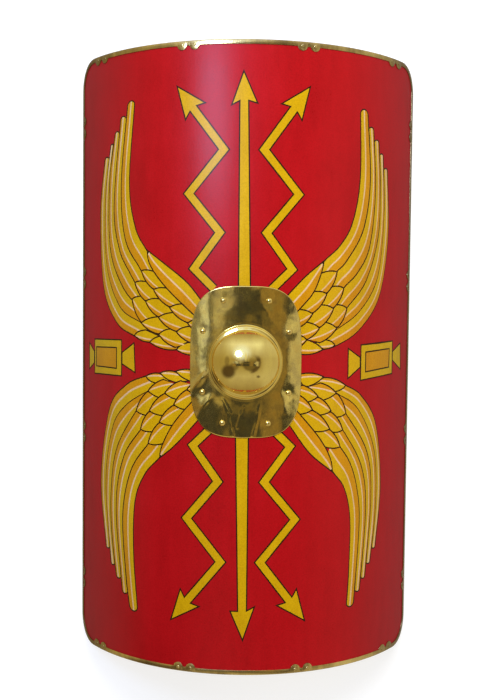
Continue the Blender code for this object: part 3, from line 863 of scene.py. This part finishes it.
def set_board_surface(mesh, places, front_count, back_count, colours):
    """Give the board's faces their paint, its corners their true normals and both its maps."""
    count = len(mesh.polygons)
    kinds = np.concatenate((colours, np.full(back_count, 5), np.full(count - front_count - back_count, 6)))
    mesh.polygons.foreach_set("material_index", kinds.astype(np.int32))
    mesh.shade_smooth()
    plan_map = mesh.uv_layers.new(name="plan")
    bake_map = mesh.uv_layers.new(name="OFBake")
    corners = np.zeros(len(mesh.loops), np.int32)
    mesh.loops.foreach_get("vertex_index", corners)
    totals = np.zeros(count, np.int32)
    mesh.polygons.foreach_get("loop_total", totals)
    kind = np.repeat(kinds, totals)
    s, t = places[corners].T
    angle = s / FACE_RADIUS
    normals = np.stack((np.sin(angle), 0 * s, np.cos(angle)), axis=1)
    normals[kind == 5] *= -1
    flat_normals = np.zeros(count * 3)
    mesh.polygons.foreach_get("normal", flat_normals)
    flat_normals = np.repeat(flat_normals.reshape(-1, 3), totals, axis=0)
    normals[kind == 6] = flat_normals[kind == 6]

    depth = np.zeros(len(mesh.loops))
    is_edge = kind == 6
    depth[is_edge] = (np.arange(is_edge.sum()) % 4 >= 2).astype(float)
    plan_uv = np.stack((s, t), axis=1)
    plan_uv[is_edge] = np.stack((s[is_edge] + t[is_edge], depth[is_edge]), axis=1)
    across = (s / HALF_ARC + 1) / 2
    up = (t / HALF_HEIGHT + 1) / 2
    bake_uv = np.zeros((len(mesh.loops), 2))
    for number, key in enumerate((RED, LINE, YELLOW, ORANGE, PALE, "back")):
        left, low, width, height = BAKE_TILES[key]
        chosen = kind == number
        bake_uv[chosen] = np.stack((left + across[chosen] * width, low + up[chosen] * height), axis=1)
    left, low, width, height = EDGE_TILE
    round_about = (np.arctan2(t, s * 1.4) / (2 * pi) + 0.5)
    bake_uv[is_edge] = np.stack((left + round_about[is_edge] * width, low + depth[is_edge] * height), axis=1)
    plan_map.uv.foreach_set("vector", plan_uv.ravel())
    bake_map.uv.foreach_set("vector", bake_uv.ravel())
    mesh.normals_split_custom_set([tuple(v) for v in normals])


# ---- the rim ------------------------------------------------------------------------------------

def rim_path(distance):
    """Place and inward direction on the outer edge, this far round from the middle of the top."""
    top_run = HALF_ARC - CORNER_RADIUS
    turn_run = CORNER_RADIUS * pi / 2
    if distance < 0:
        (s, t), (ds, dt) = rim_path(-distance)
        return (-s, t), (-ds, dt)
    if distance <= top_run:
        return (distance, HALF_HEIGHT), (0.0, -1.0)
    if distance >= top_run + turn_run:
        return (HALF_ARC, HALF_HEIGHT - CORNER_RADIUS - (distance - top_run - turn_run)), (-1.0, 0.0)
    angle = pi / 2 - (distance - top_run) / CORNER_RADIUS
    place = (top_run + CORNER_RADIUS * cos(angle), HALF_HEIGHT - CORNER_RADIUS + CORNER_RADIUS * sin(angle))
    return place, (-cos(angle), -sin(angle))


def along_side(height):
    return HALF_ARC - CORNER_RADIUS + CORNER_RADIUS * pi / 2 + HALF_HEIGHT - CORNER_RADIUS - height


def rim_place(distance, inward, side, end):
    (s, t), (ds, dt) = rim_path(distance)
    return side * (s + inward * ds), end * (t + inward * dt)


def strip_width(distance, lobes, seed):
    """Width of the band here: a little uneven, and wider where a lobe stands out of it."""
    wander = noise.noise(Vector((distance * 45.0, seed, 0.0))) * 0.0003
    width = RIM_WIDTH + wander
    for lobe in lobes:
        if abs(distance - lobe) < LOBE_RADIUS:
            width = max(width, LOBE_INSET + sqrt(LOBE_RADIUS ** 2 - (distance - lobe) ** 2))
    return width


def strip_section(width, dip):
    """The rim's section as (inward, out) pairs: a rolled front edge, the back, and both sheet edges."""
    roll = 0.0012
    fillet = 0.0004
    front = RIM_FRONT - dip
    points = [(roll - roll * cos(a), front - roll + roll * sin(a)) for a in np.linspace(0, pi / 2, 6)]
    points += [(width - fillet, front)]
    points += [(width - fillet + fillet * sin(a), front - fillet + fillet * cos(a)) for a in (pi / 4, pi / 2)]
    points += [(width, GAP - dip / 2), (RIM_SHEET, GAP),
               (RIM_SHEET, BOARD_BACK - GAP), (width, BOARD_BACK - GAP)]
    points += [(width, RIM_BACK + fillet), (width - fillet, RIM_BACK)]
    points += [(REST_STEP, RIM_BACK), (0.0, RIM_BACK + REST_RISE)]
    return points


def dome_head(skin, centre, radius, base, height, sides=20, rings=6):
    """A domed head that stands on the curve at this place of the plan."""
    s, t = centre
    foot = skin.ring([on_shield(s + radius * cos(a), t + radius * sin(a), base)
                      for a in np.linspace(0, 2 * pi, sides, endpoint=False)])
    bottom = foot
    for k in range(1, rings):
        lift = pi / 2 * k / rings
        ring = skin.ring([on_shield(s + radius * cos(lift) * cos(a), t + radius * cos(lift) * sin(a),
                                    base + height * sin(lift))
                          for a in np.linspace(0, 2 * pi, sides, endpoint=False)])
        skin.bridge(foot, ring)
        foot = ring
    skin.cap(foot, on_shield(s, t, base + height))
    skin.cap(bottom[::-1], on_shield(s, t, base))


def build_strip(name, start, stop, side, end, brass, seed):
    """One strip of the rim with its two lobes and nails."""
    lobes = [start + LOBE_FROM_JOINT, stop - LOBE_FROM_JOINT]
    low, high = start + GAP / 2, stop - GAP / 2
    half_angle = acos((RIM_WIDTH - LOBE_INSET) / LOBE_RADIUS)
    stations = list(np.linspace(low, high, max(8, round((high - low) / 0.006))))
    for lobe in lobes:
        stations = [d for d in stations if abs(d - lobe) > LOBE_RADIUS or d in (low, high)]
        stations += [lobe + LOBE_RADIUS * sin(a) for a in np.linspace(-half_angle, half_angle, 17)]
    stations = sorted(d for d in stations if low <= d <= high)
    skin = Skin()
    rings = []
    for distance in stations:
        dip = 0.00018 * (0.5 + 0.5 * noise.noise(Vector((distance * 30.0, seed + 7.3, 1.0))))
        section = strip_section(strip_width(distance, lobes, seed), dip)
        rings.append(skin.ring([on_shield(*rim_place(distance, inward, side, end), out)
                                for inward, out in section]))
    for one, other in zip(rings, rings[1:]):
        skin.bridge(one, other)
    skin.faces += [tuple(rings[0][::-1]), tuple(rings[-1])]
    for lobe in lobes:
        dome_head(skin, rim_place(lobe, LOBE_INSET, side, end), NAIL_RADIUS, RIM_FRONT - 0.0004, NAIL_HEIGHT)
    mesh = mesh_of(name, skin.points, skin.faces, 40)
    new_piece("brass_" + name, mesh, [name], [brass])


def build_rim(brass):
    inner, outer = JOINTS_ON_TOP
    low, high = JOINTS_ON_SIDE
    seed = 0
    for end, end_name in ((1, "top"), (-1, "bottom")):
        for start, stop, place in ((-outer, -inner, "left"), (-inner, inner, "middle"),
                                   (inner, outer, "right")):
            seed += 1
            build_strip(f"edging_{end_name}_{place}", start, stop, 1, end, brass, seed)
    for side, side_name in ((-1, "left"), (1, "right")):
        for end, end_name in ((1, "top"), (-1, "bottom")):
            seed += 2
            build_strip(f"edging_corner_{end_name}_{side_name}", outer, along_side(high), side, end,
                        brass, seed)
            build_strip(f"edging_{side_name}_{end_name}", along_side(high), along_side(low), side, end, brass,
                        seed + 1)
        seed += 2
        build_strip(f"edging_{side_name}_middle", along_side(low), along_side(-low), side, 1, brass, seed)


# ---- the boss -----------------------------------------------------------------------------------

BOSS_SPOKES = 360


def plate_reach(angle):
    """Distance from the middle to the plate's squared oval outline in this direction."""
    across, up = abs(cos(angle) / PLATE_HALF_WIDTH), abs(sin(angle) / PLATE_HALF_HEIGHT)
    return (across ** PLATE_SQUARENESS + up ** PLATE_SQUARENESS) ** (-1 / PLATE_SQUARENESS)


def ridge(s, t, path, width):
    """1 on a crooked line of the plan, falling away to 0 beside it and past its ends."""
    nearest = min(((s - (a[0] + (b[0] - a[0]) * f)) ** 2 + (t - (a[1] + (b[1] - a[1]) * f)) ** 2)
                  for a, b in zip(path, path[1:]) for f in (along(s, t, a, b),))
    return exp(-nearest / width ** 2)


def along(s, t, a, b):
    """How far along a line, from 0 to 1, its point nearest to this place lies."""
    ds, dt = b[0] - a[0], b[1] - a[1]
    return min(max(((s - a[0]) * ds + (t - a[1]) * dt) / (ds * ds + dt * dt), 0.0), 1.0)


CREASES = (((-0.036, -0.062), (-0.025, -0.085), (-0.019, -0.122), 0.0026, 0.00065),
           ((0.024, -0.066), (0.020, -0.091), (0.013, -0.122), 0.0026, 0.00060),
           ((-0.002, -0.074), (-0.008, -0.090), (-0.013, -0.108), 0.0026, 0.00028),
           ((-0.058, -0.014), (-0.074, -0.029), (-0.093, -0.053), 0.0065, 0.00085),
           ((0.066, -0.020), (0.057, -0.044), (0.066, -0.082), 0.0065, 0.00026),
           ((-0.054, -0.034), (-0.056, -0.054), (-0.082, -0.094), 0.0050, 0.00050),
           ((0.020, 0.118), (0.038, 0.080), (0.052, 0.042), 0.0070, 0.00022))


def buckle(s, t):
    """How far the thin plate stands off the board here, where pressing and riveting buckled it."""
    lift = 0.00030 + 0.00024 * noise.noise(Vector((s * 24.0, t * 16.0, 3.1)))
    lift += 0.00012 * noise.noise(Vector((s * 60.0, t * 42.0, 9.4)))
    local_factor = 0.85 + 0.9 * noise.noise(Vector((s * 45.0, t * 60.0, 1.7)))
    for *path, width, height in CREASES:
        lift += local_factor * height * ridge(s, t, path, width)
    for centre_s, centre_t in rivet_centres():
        near = hypot(s - centre_s, t - centre_t)
        lift *= 1 - 0.90 * exp(-(near / 0.011) ** 2)
    return lift


def boss_profile(angle):
    """A rounded shoulder, a foot and the dome, as (radius, height over the plate's front)."""
    spring = DOME_RADIUS + DOME_SPREAD * cos(angle) ** 2
    width, height = RING_SHOULDER
    shoulder = [(RING_RADIUS - width * (1 - cos(a)), height * sin(a)) for a in np.linspace(0, pi / 2, 10)]
    dome = []
    for tilt in np.linspace(asin(spring / DOME_CURVE), 0, 41)[:-1]:
        radius = DOME_CURVE * sin(tilt)
        plate_drop = FACE_RADIUS * (1 - cos(radius * cos(angle) / FACE_RADIUS))
        dome.append((radius, DOME_HEIGHT - DOME_CURVE * (1 - cos(tilt)) + plate_drop))
    ring_edge, dome_edge = (spring + DOME_FILLET, RING_INNER_HEIGHT), dome[0]
    bends = (ring_edge, (spring + 0.0013, RING_INNER_HEIGHT),
             (spring + 0.0007, dome_edge[1] - 0.0010), dome_edge)
    foot = []
    for f in np.linspace(0, 1, 9)[:-1]:
        shares = ((1 - f) ** 3, 3 * f * (1 - f) ** 2, 3 * f * f * (1 - f), f ** 3)
        foot.append(tuple(sum(share * bend[i] for share, bend in zip(shares, bends)) for i in (0, 1)))
    return shoulder + foot + dome


def inner_profile(profile):
    """The same profile seen from inside, one sheet thickness further in."""
    inner = []
    for before, here, after in zip([profile[0]] + profile, profile, profile[1:] + [(0.0, DOME_HEIGHT)]):
        run = Vector((after[0] - before[0], after[1] - before[1])).normalized()
        inner.append((here[0] - run.y * BOSS_SHEET, here[1] + run.x * BOSS_SHEET))
    return inner


def build_boss(brass):
    """The pressed sheet: a plate that follows the board, a raised ring and a dome."""
    angles = [2 * pi * i / BOSS_SPOKES for i in range(BOSS_SPOKES)]
    profiles = [boss_profile(angle) for angle in angles]
    skin = Skin()

    def plate_ring(share, out, inset=0.0):
        points = []
        for angle in angles:
            reach = RING_RADIUS + (plate_reach(angle) - inset - RING_RADIUS) * share
            s, t = reach * cos(angle), reach * sin(angle)
            away = min(1.0, share * 2)
            points.append(on_shield(s, t, out + buckle(s, t) * away * away * (3 - 2 * away)))
        return skin.ring(points)

    def dome_rings(profiles):
        return [skin.ring([on_shield(r * cos(a), r * sin(a), PLATE_FRONT) + Vector((0, 0, height))
                           for a, (r, height) in zip(angles, level)]) for level in zip(*profiles)]

    fillet = BOSS_SHEET / 2
    front = [plate_ring(x, PLATE_FRONT, fillet) for x in np.linspace(1, 0, 60)[:-1]]
    edge = plate_ring(1.0, GAP + fillet)
    dome = dome_rings(profiles)
    skin.bridge(edge, front[0])
    for one, other in zip(front + dome, (front + dome)[1:]):
        skin.bridge(one, other)
    tip = on_shield(0.0, 0.0, PLATE_FRONT) + Vector((0, 0, DOME_HEIGHT))
    skin.cap(dome[-1], tip)

    back = [plate_ring(x, GAP, fillet) for x in np.linspace(1, 0, 24)[:-1]]
    under = dome_rings([inner_profile(profile) for profile in profiles])
    skin.bridge(back[0], edge)
    for one, other in zip(back + under, (back + under)[1:]):
        skin.bridge(other, one)
    skin.cap(under[-1][::-1], tip - Vector((0, 0, BOSS_SHEET)))
    mesh = mesh_of("boss", skin.points, skin.faces, 0)
    new_piece("brass_boss", mesh, ["boss"], [brass])


def build_rivets(brass):
    """Domed heads on the plate and flattened tails on the back of the board, a shank between."""
    for number, (s, t) in enumerate(rivet_centres(), start=1):
        skin = Skin()
        base = PLATE_FRONT + 0.0001
        angles = np.linspace(0, 2 * pi, 32, endpoint=False)

        def ring(radius, out):
            return skin.ring([on_shield(s + radius * cos(a), t + radius * sin(a), out) for a in angles])

        profile = [(RIVET_HEAD_RADIUS * cos(a), base + 0.0004 + RIVET_HEAD_HEIGHT * sin(a))
                   for a in np.linspace(1.45, 0, 9)]
        profile += [(RIVET_HEAD_RADIUS, base), (RIVET_SHANK_RADIUS, base),
                    (RIVET_SHANK_RADIUS, BOARD_BACK - GAP)]
        profile += [(RIVET_TAIL_RADIUS, BOARD_BACK - GAP), (RIVET_TAIL_RADIUS, BOARD_BACK - GAP - 0.0005),
                    (0.8 * RIVET_TAIL_RADIUS, BOARD_BACK - GAP - RIVET_TAIL_HEIGHT + 0.0001)]
        rings = [ring(radius, out) for radius, out in profile]
        for one, other in zip(rings, rings[1:]):
            skin.bridge(other, one)
        skin.cap(rings[0], on_shield(s, t, base + 0.0004 + RIVET_HEAD_HEIGHT))
        skin.cap(rings[-1][::-1], on_shield(s, t, BOARD_BACK - GAP - RIVET_TAIL_HEIGHT))
        mesh = mesh_of(f"rivet_{number}", skin.points, skin.faces, 40)
        new_piece(f"brass_rivet_{number}", mesh, [f"boss_rivet_{number}"], [brass])


# ---- the grip -----------------------------------------------------------------------------------

def build_grip(wood):
    """A wooden bar: a pad on the board at each end and a rounded handle across the hand hole."""
    half_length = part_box("grip")[1].x
    end = min(FACE_RADIUS * atan2(half_length, FACE_RADIUS + BOARD_BACK), GRIP_HALF_LENGTH)
    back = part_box("grip")[0].z
    skin = Skin()
    rings = []
    for s in np.linspace(-end, end, 61):
        pad = min(max((abs(s) - GRIP_HANDLE_END) / (GRIP_PAD_START - GRIP_HANDLE_END), 0.0), 1.0)
        pad = pad * pad * (3 - 2 * pad)
        half_width = GRIP_HANDLE_HALF_WIDTH + (GRIP_PAD_HALF_WIDTH - GRIP_HANDLE_HALF_WIDTH) * pad
        front = BOARD_BACK - GAP - (GRIP_HANDLE_SINK - GAP) * (1 - pad)
        top = on_shield(s, 0.0, front)
        squareness = 2.6 + 6.0 * pad
        height = (top.z - back) / 2
        points = []
        for i in range(40):
            a = 2 * pi * i / 40
            c, d = cos(a), sin(a)
            y = half_width * abs(c) ** (2 / squareness) * (1 if c >= 0 else -1)
            z = back + height + height * abs(d) ** (2 / squareness) * (1 if d >= 0 else -1)
            points.append(Vector((top.x, y, z)))
        rings.append(skin.ring(points))
    for one, other in zip(rings, rings[1:]):
        skin.bridge(one, other)
    skin.faces += [tuple(rings[0][::-1]), tuple(rings[-1])]
    mesh = mesh_of("grip", skin.points, skin.faces, 40)
    new_piece("wooden_grip", mesh, ["grip"], [wood])


# ---- studio -------------------------------------------------------------------------------------

FLOOR_RADIUS = 2.2


def make_floor():
    """A plain round light table, wide enough to fill the picture. The brass mirrors the room instead."""
    mesh = bpy.data.meshes.new("floor")
    around = np.linspace(0, 2 * pi, 96, endpoint=False)
    rim = [(FLOOR_RADIUS * cos(a), FLOOR_RADIUS * sin(a), 0.0) for a in around]
    mesh.from_pydata(rim, [], [tuple(range(len(rim)))])
    floor = bpy.data.objects.new("floor", mesh)
    floor.location.z = cad_box[0].z - 0.0002
    floor.visible_glossy = False
    bpy.context.scene.collection.objects.link(floor)
    n = Nodes("pale_floor")
    tone = n.ramp(n.noise(n.place(), 3.0, 3.0), [(0.3, (0.34, 0.34, 0.335)), (0.7, (0.37, 0.37, 0.365))])
    glow = n.ramp(n.noise(n.place(), 2.0, 2.0), [(0.3, (0.96, 0.96, 0.955)), (0.7, (0.99, 0.99, 0.985))])
    mesh.materials.append(n.finish(Base_Color=tone, Roughness=0.9, Specular_IOR_Level=0.1,
                                   Emission_Color=glow,
                                   Emission_Strength=0.74))


def make_light(name, place, aim, size, radiance, colour=(1.0, 1.0, 1.0), mirrored=True):
    """A soft oval light of this width and height."""
    light = bpy.data.lights.new(name, 'AREA')
    light.shape = 'ELLIPSE'
    light.size, light.size_y = size
    light.energy = radiance * pi * size[0] * size[1] * pi / 4
    light.color = colour
    lamp = bpy.data.objects.new(name, light)
    lamp.location = place
    lamp.rotation_euler = (Vector(aim) - Vector(place)).to_track_quat('-Z', 'Y').to_euler()
    lamp.visible_glossy = mirrored
    bpy.context.scene.collection.objects.link(lamp)


# The room that the brass mirrors, in six plain colours.
DAYLIGHT = (1.00, 1.10, 1.30)
PALE_WALL = (0.60, 0.58, 0.50)
DIM_WALL = (0.42, 0.36, 0.20)
WOODWORK = (0.30, 0.22, 0.10)
DARK_WOOD = (0.14, 0.11, 0.06)
SHADE = (0.06, 0.06, 0.06)

# Who looks on from the left, as ovals in the mirror ball, and a small dark thing at the right: centre,
# half size and how strongly each shows.
FIGURE = (((-0.435, -0.25), (0.17, 0.17), 0.95), ((-0.475, 0.020), (0.06, 0.12), 0.45),
          ((-0.29, -0.115), (0.11, 0.10), 0.55), ((0.32, -0.37), (0.045, 0.035), 0.8))

# What stands straight above the plate, from left to right: where each thing begins and ends along
# the left-right part of a direction, its colour and how strongly it shows.
ABOVE_UPPER_PLATE = ((-0.90, -0.54, PALE_WALL, 0.75), (-0.50, -0.38, DAYLIGHT, 0.7),
                     (-0.32, -0.14, PALE_WALL, 0.85), (0.20, 0.40, WOODWORK, 1.0))
ABOVE_LOWER_PLATE = ((-0.90, -0.48, WOODWORK, 1.0), (-0.22, -0.15, WOODWORK, 0.6),
                     (0.20, 0.37, WOODWORK, 0.9))


class WorldNodes(Nodes):
    """The same helpers on the world's nodes, with the two parts of a direction in a mirror ball."""

    def __init__(self, world):
        world.use_nodes = True
        self.tree = world.node_tree
        parts = self.add("ShaderNodeSeparateXYZ")
        self.direction = self.add("ShaderNodeTexCoord").outputs["Generated"]
        self.tree.links.new(self.direction, parts.inputs[0])
        self.x, self.y, self.z = parts.outputs
        twice = self.math('ADD', self.math('MULTIPLY', self.z, 2.0), 2.0)
        shrink = self.math('SQRT', self.math('MAXIMUM', twice, 0.01))
        self.u = self.math('DIVIDE', self.x, shrink)
        self.v = self.math('DIVIDE', self.y, shrink)

    def stretched(self, scale):
        """The direction, with each of its parts multiplied."""
        node = self.add("ShaderNodeVectorMath", operation='MULTIPLY')
        self.tree.links.new(self.direction, node.inputs[0])
        node.inputs[1].default_value = scale
        return node.outputs[0]

    def soft_step(self, value, low, high, top=1.0):
        """0 below low and top above high, or the other way round where low is the greater."""
        node = self.add("ShaderNodeMapRange", interpolation_type='SMOOTHSTEP')
        for socket, setting in zip(node.inputs, (value, min(low, high), max(low, high), top * (low > high),
                                                 top * (low < high))):
            if isinstance(setting, bpy.types.NodeSocket):
                self.tree.links.new(setting, socket)
            else:
                socket.default_value = setting
        return node.outputs[0]

    def band(self, along, stops):
        return self.ramp(self.math('ADD', self.math('MULTIPLY', along, 0.5), 0.5),
                         [((place + 1) / 2, colour) for place, colour in stops])

    def panels(self, along, things):
        """Soft-edged upright panels in front of the shade."""
        colour = SHADE
        for left, right, tint, share in things:
            inside = self.both(self.soft_step(along, left - 0.03, left + 0.03),
                               self.soft_step(along, right + 0.03, right - 0.03))
            colour = self.mix(self.math('MULTIPLY', inside, share), colour, tint)
        return colour

    def off_centre(self, centre, half_size):
        """Distance from an oval's centre: 1 on its edge."""
        parts = [self.math('DIVIDE', self.math('SUBTRACT', part, middle), half)
                 for part, middle, half in zip((self.u, self.v), centre, half_size)]
        return self.math('SQRT', self.math('ADD', *(self.math('MULTIPLY', part, part) for part in parts)))

    def both(self, one, two):
        return self.math('MULTIPLY', one, two)


def make_world():
    """The room that the brass mirrors: window light above, dim walls, and whoever looks down at it."""
    world = bpy.data.worlds.new("studio")
    bpy.context.scene.world = world
    n = WorldNodes(world)
    u, v, step = n.u, n.v, n.soft_step
    # woodwork below, a pale table, dim walls, and daylight from the ceiling
    colour = n.band(v, ((-0.80, WOODWORK), (-0.36, PALE_WALL), (-0.12, DIM_WALL), (0.08, DIM_WALL),
                        (0.45, DAYLIGHT), (0.62, PALE_WALL), (0.78, WOODWORK)))
    colour = n.mix(step(u, -0.30, -0.60, 0.75), colour, DIM_WALL)
    colour = n.mix(step(u, 0.32, 0.52, 0.70), colour, PALE_WALL)

    # the glow round the window lamp, then a dark arch to its right and the figure to its left
    glow = step(n.off_centre((-0.10, 0.25), (0.22, 0.20)), 1.35, 0.35)
    colour = n.mix(n.math('MULTIPLY', glow, 0.85), colour, (1.1, 1.4, 2.6))
    arch = n.off_centre((0.115, 0.000), (0.235, 0.245))
    inside = n.both(step(arch, 1.05, 0.75), step(v, 0.16, -0.05))
    colour = n.mix(n.math('MULTIPLY', inside, 0.85), colour, DARK_WOOD)
    line = n.both(step(n.math('ABSOLUTE', n.math('SUBTRACT', arch, 0.95)), 0.30, 0.10),
                  n.both(step(v, 0.22, 0.06), step(u, 0.06, 0.20)))
    colour = n.mix(n.math('MULTIPLY', line, 0.9), colour, (0.09, 0.062, 0.045))
    for centre, half_size, share in FIGURE:
        blot = step(n.off_centre(centre, half_size), 1.35, 0.65)
        colour = n.mix(n.math('MULTIPLY', blot, share), colour, (0.085, 0.058, 0.042))
    for centre, half_size, light in (((0.0, 0.143), (0.020, 0.12), (0.95, 0.98, 0.80)),
                                     ((0.07, 0.127), (0.015, 0.10), (0.60, 0.58, 0.40)),
                                     ((-0.26, 0.004), (0.018, 0.025), (1.0, 1.1, 1.2))):
        colour = n.mix(step(n.off_centre(centre, half_size), 1.3, 0.6), colour, light)

    # straight above the plate, with the dark head and shoulders of whoever looks down
    blotches = n.noise(n.stretched((7.0, 42.0, 1.0)), 1.0, 3.0, 0.6)
    x = n.math('ADD', n.x, n.math('MULTIPLY', n.math('SUBTRACT', blotches, 0.5), 0.11))
    y = n.y
    strip = n.panels(x, ABOVE_UPPER_PLATE)
    height = n.math('MULTIPLY', n.math('ADD', y, 0.05), 10.0)
    left = n.ramp(height, [(0.0, 0.25), (0.30, 0.24), (0.42, 0.13), (0.56, 0.045)])
    right = n.ramp(height, [(0.0, 0.17), (0.30, 0.16), (0.42, 0.09), (0.60, 0.075)])
    over_left = step(n.math('ADD', x, left), -0.03, 0.05)
    over_right = step(n.math('SUBTRACT', x, right), 0.05, -0.03)
    strip = n.mix(n.both(over_left, over_right), strip, SHADE)
    strip = n.mix(step(y, -0.045, -0.085), strip, n.panels(x, ABOVE_LOWER_PLATE))
    from_window = n.math('ABSOLUTE', n.math('ADD', y, 0.055))
    edge = n.math('ADD', n.soft_step(from_window, 0.020, 0.060, 0.09), 0.415)
    strip = n.mix(step(n.math('SUBTRACT', x, edge), -0.012, 0.025), strip, PALE_WALL)
    shade = n.noise(n.stretched((16.0, 110.0, 1.0)), 1.0, 2.0, 0.6)
    strip = n.mix(1.0, strip, n.ramp(shade, [(0.32, 0.58), (0.68, 1.40)]), 'MULTIPLY')
    sideways = n.math('ABSOLUTE', n.x)
    beside = n.both(step(sideways, 0.31, 0.37),
                    n.both(step(y, -0.19, -0.15), step(y, 0.050, 0.022)))
    above_upper = n.both(step(y, -0.058, -0.032), step(y, 0.040, 0.018))
    above_lower = n.both(step(y, -0.21, -0.17), step(y, -0.064, -0.082))
    overhead = n.math('MAXIMUM', beside, n.math('MAXIMUM', above_upper, above_lower))
    overhead = n.both(overhead, n.both(step(sideways, 0.66, 0.58), step(n.z, 0.60, 0.70)))
    # behind the dome the plate mirrors nothing, so the strips leave that part to the room
    behind_dome = n.both(step(sideways, 0.30, 0.22),
                         n.both(step(y, -0.086, -0.074), step(y, -0.044, -0.056)))
    overhead = n.both(overhead, n.math('SUBTRACT', 1.0, behind_dome))
    colour = n.mix(overhead, colour, strip)

    # the camera sees a plain pale backdrop
    seen = n.add("ShaderNodeLightPath").outputs["Is Camera Ray"]
    colour = n.mix(seen, colour, (0.93, 0.93, 0.925))
    n.tree.links.new(colour, n.tree.nodes["Background"].inputs["Color"])


WARM_LIGHT = (1.0, 0.97, 0.92)


def make_studio():
    make_floor()
    make_world()
    make_light("key_lamp", (-0.572, 0.683, 1.55), (-0.05, 0.30, 0.18), (0.48, 0.54), 24.0, (0.44, 0.60, 1.0))
    make_light("top_lamp", (0.25, 1.95, 2.20), (0.0, 0.1, 0.1), (1.47, 1.13), 14.0, WARM_LIGHT,
               mirrored=False)
    make_light("side_lamp", (2.2, 0.1, 1.5), (0.2, 0.0, 0.1), (1.35, 1.58), 2.0, WARM_LIGHT,
               mirrored=False)


# Each paint with its usual colour, its darkest and its palest.
PAINTS = (
    ("red_paint", (0.360, 0.0026, 0.0046), (0.300, 0.0020, 0.0036), (0.400, 0.0036, 0.0064)),
    ("dark_line", (0.024, 0.008, 0.002), (0.016, 0.006, 0.002), (0.036, 0.013, 0.004)),
    ("yellow_paint", (0.515, 0.288, 0.0008), (0.455, 0.245, 0.0006), (0.575, 0.332, 0.003)),
    ("orange_paint", (0.50, 0.205, 0.001), (0.43, 0.165, 0.001), (0.55, 0.245, 0.004)),
    ("pale_paint", (0.62, 0.385, 0.19), (0.54, 0.31, 0.12), (0.68, 0.46, 0.27)))


def main():
    bpy.context.scene.view_settings.view_transform = 'Standard'
    make_camera()
    paint_design()
    paints = [paint_material(*paint) for paint in PAINTS]
    plywood = wood_material("plywood_back", (0.36, 0.21, 0.10), (0.56, 0.37, 0.20), 9.0, 'Y', 0.55)
    build_board(paints, plywood, plywood_edge_material())
    # the rim's brass is darkened towards the shield's sides by painted shade
    build_rim(brass_material("edging_brass", (0.86, 0.66, 0.25), (0.30, 0.20, 0.08), 0.85, 0.18,
                             side_shade_strength=0.85))
    build_boss(brass_material("boss_brass", (0.93, 0.71, 0.19), (0.60, 0.41, 0.13), 0.50, 0.04,
                              dented_beyond=0.061))
    build_rivets(brass_material("rivet_brass", (0.93, 0.70, 0.22), (0.50, 0.34, 0.12), 0.6, 0.10))
    build_grip(wood_material("grip_wood", (0.30, 0.17, 0.07), (0.52, 0.34, 0.17), 7.0, 'X', 0.42))
    make_studio()


main()
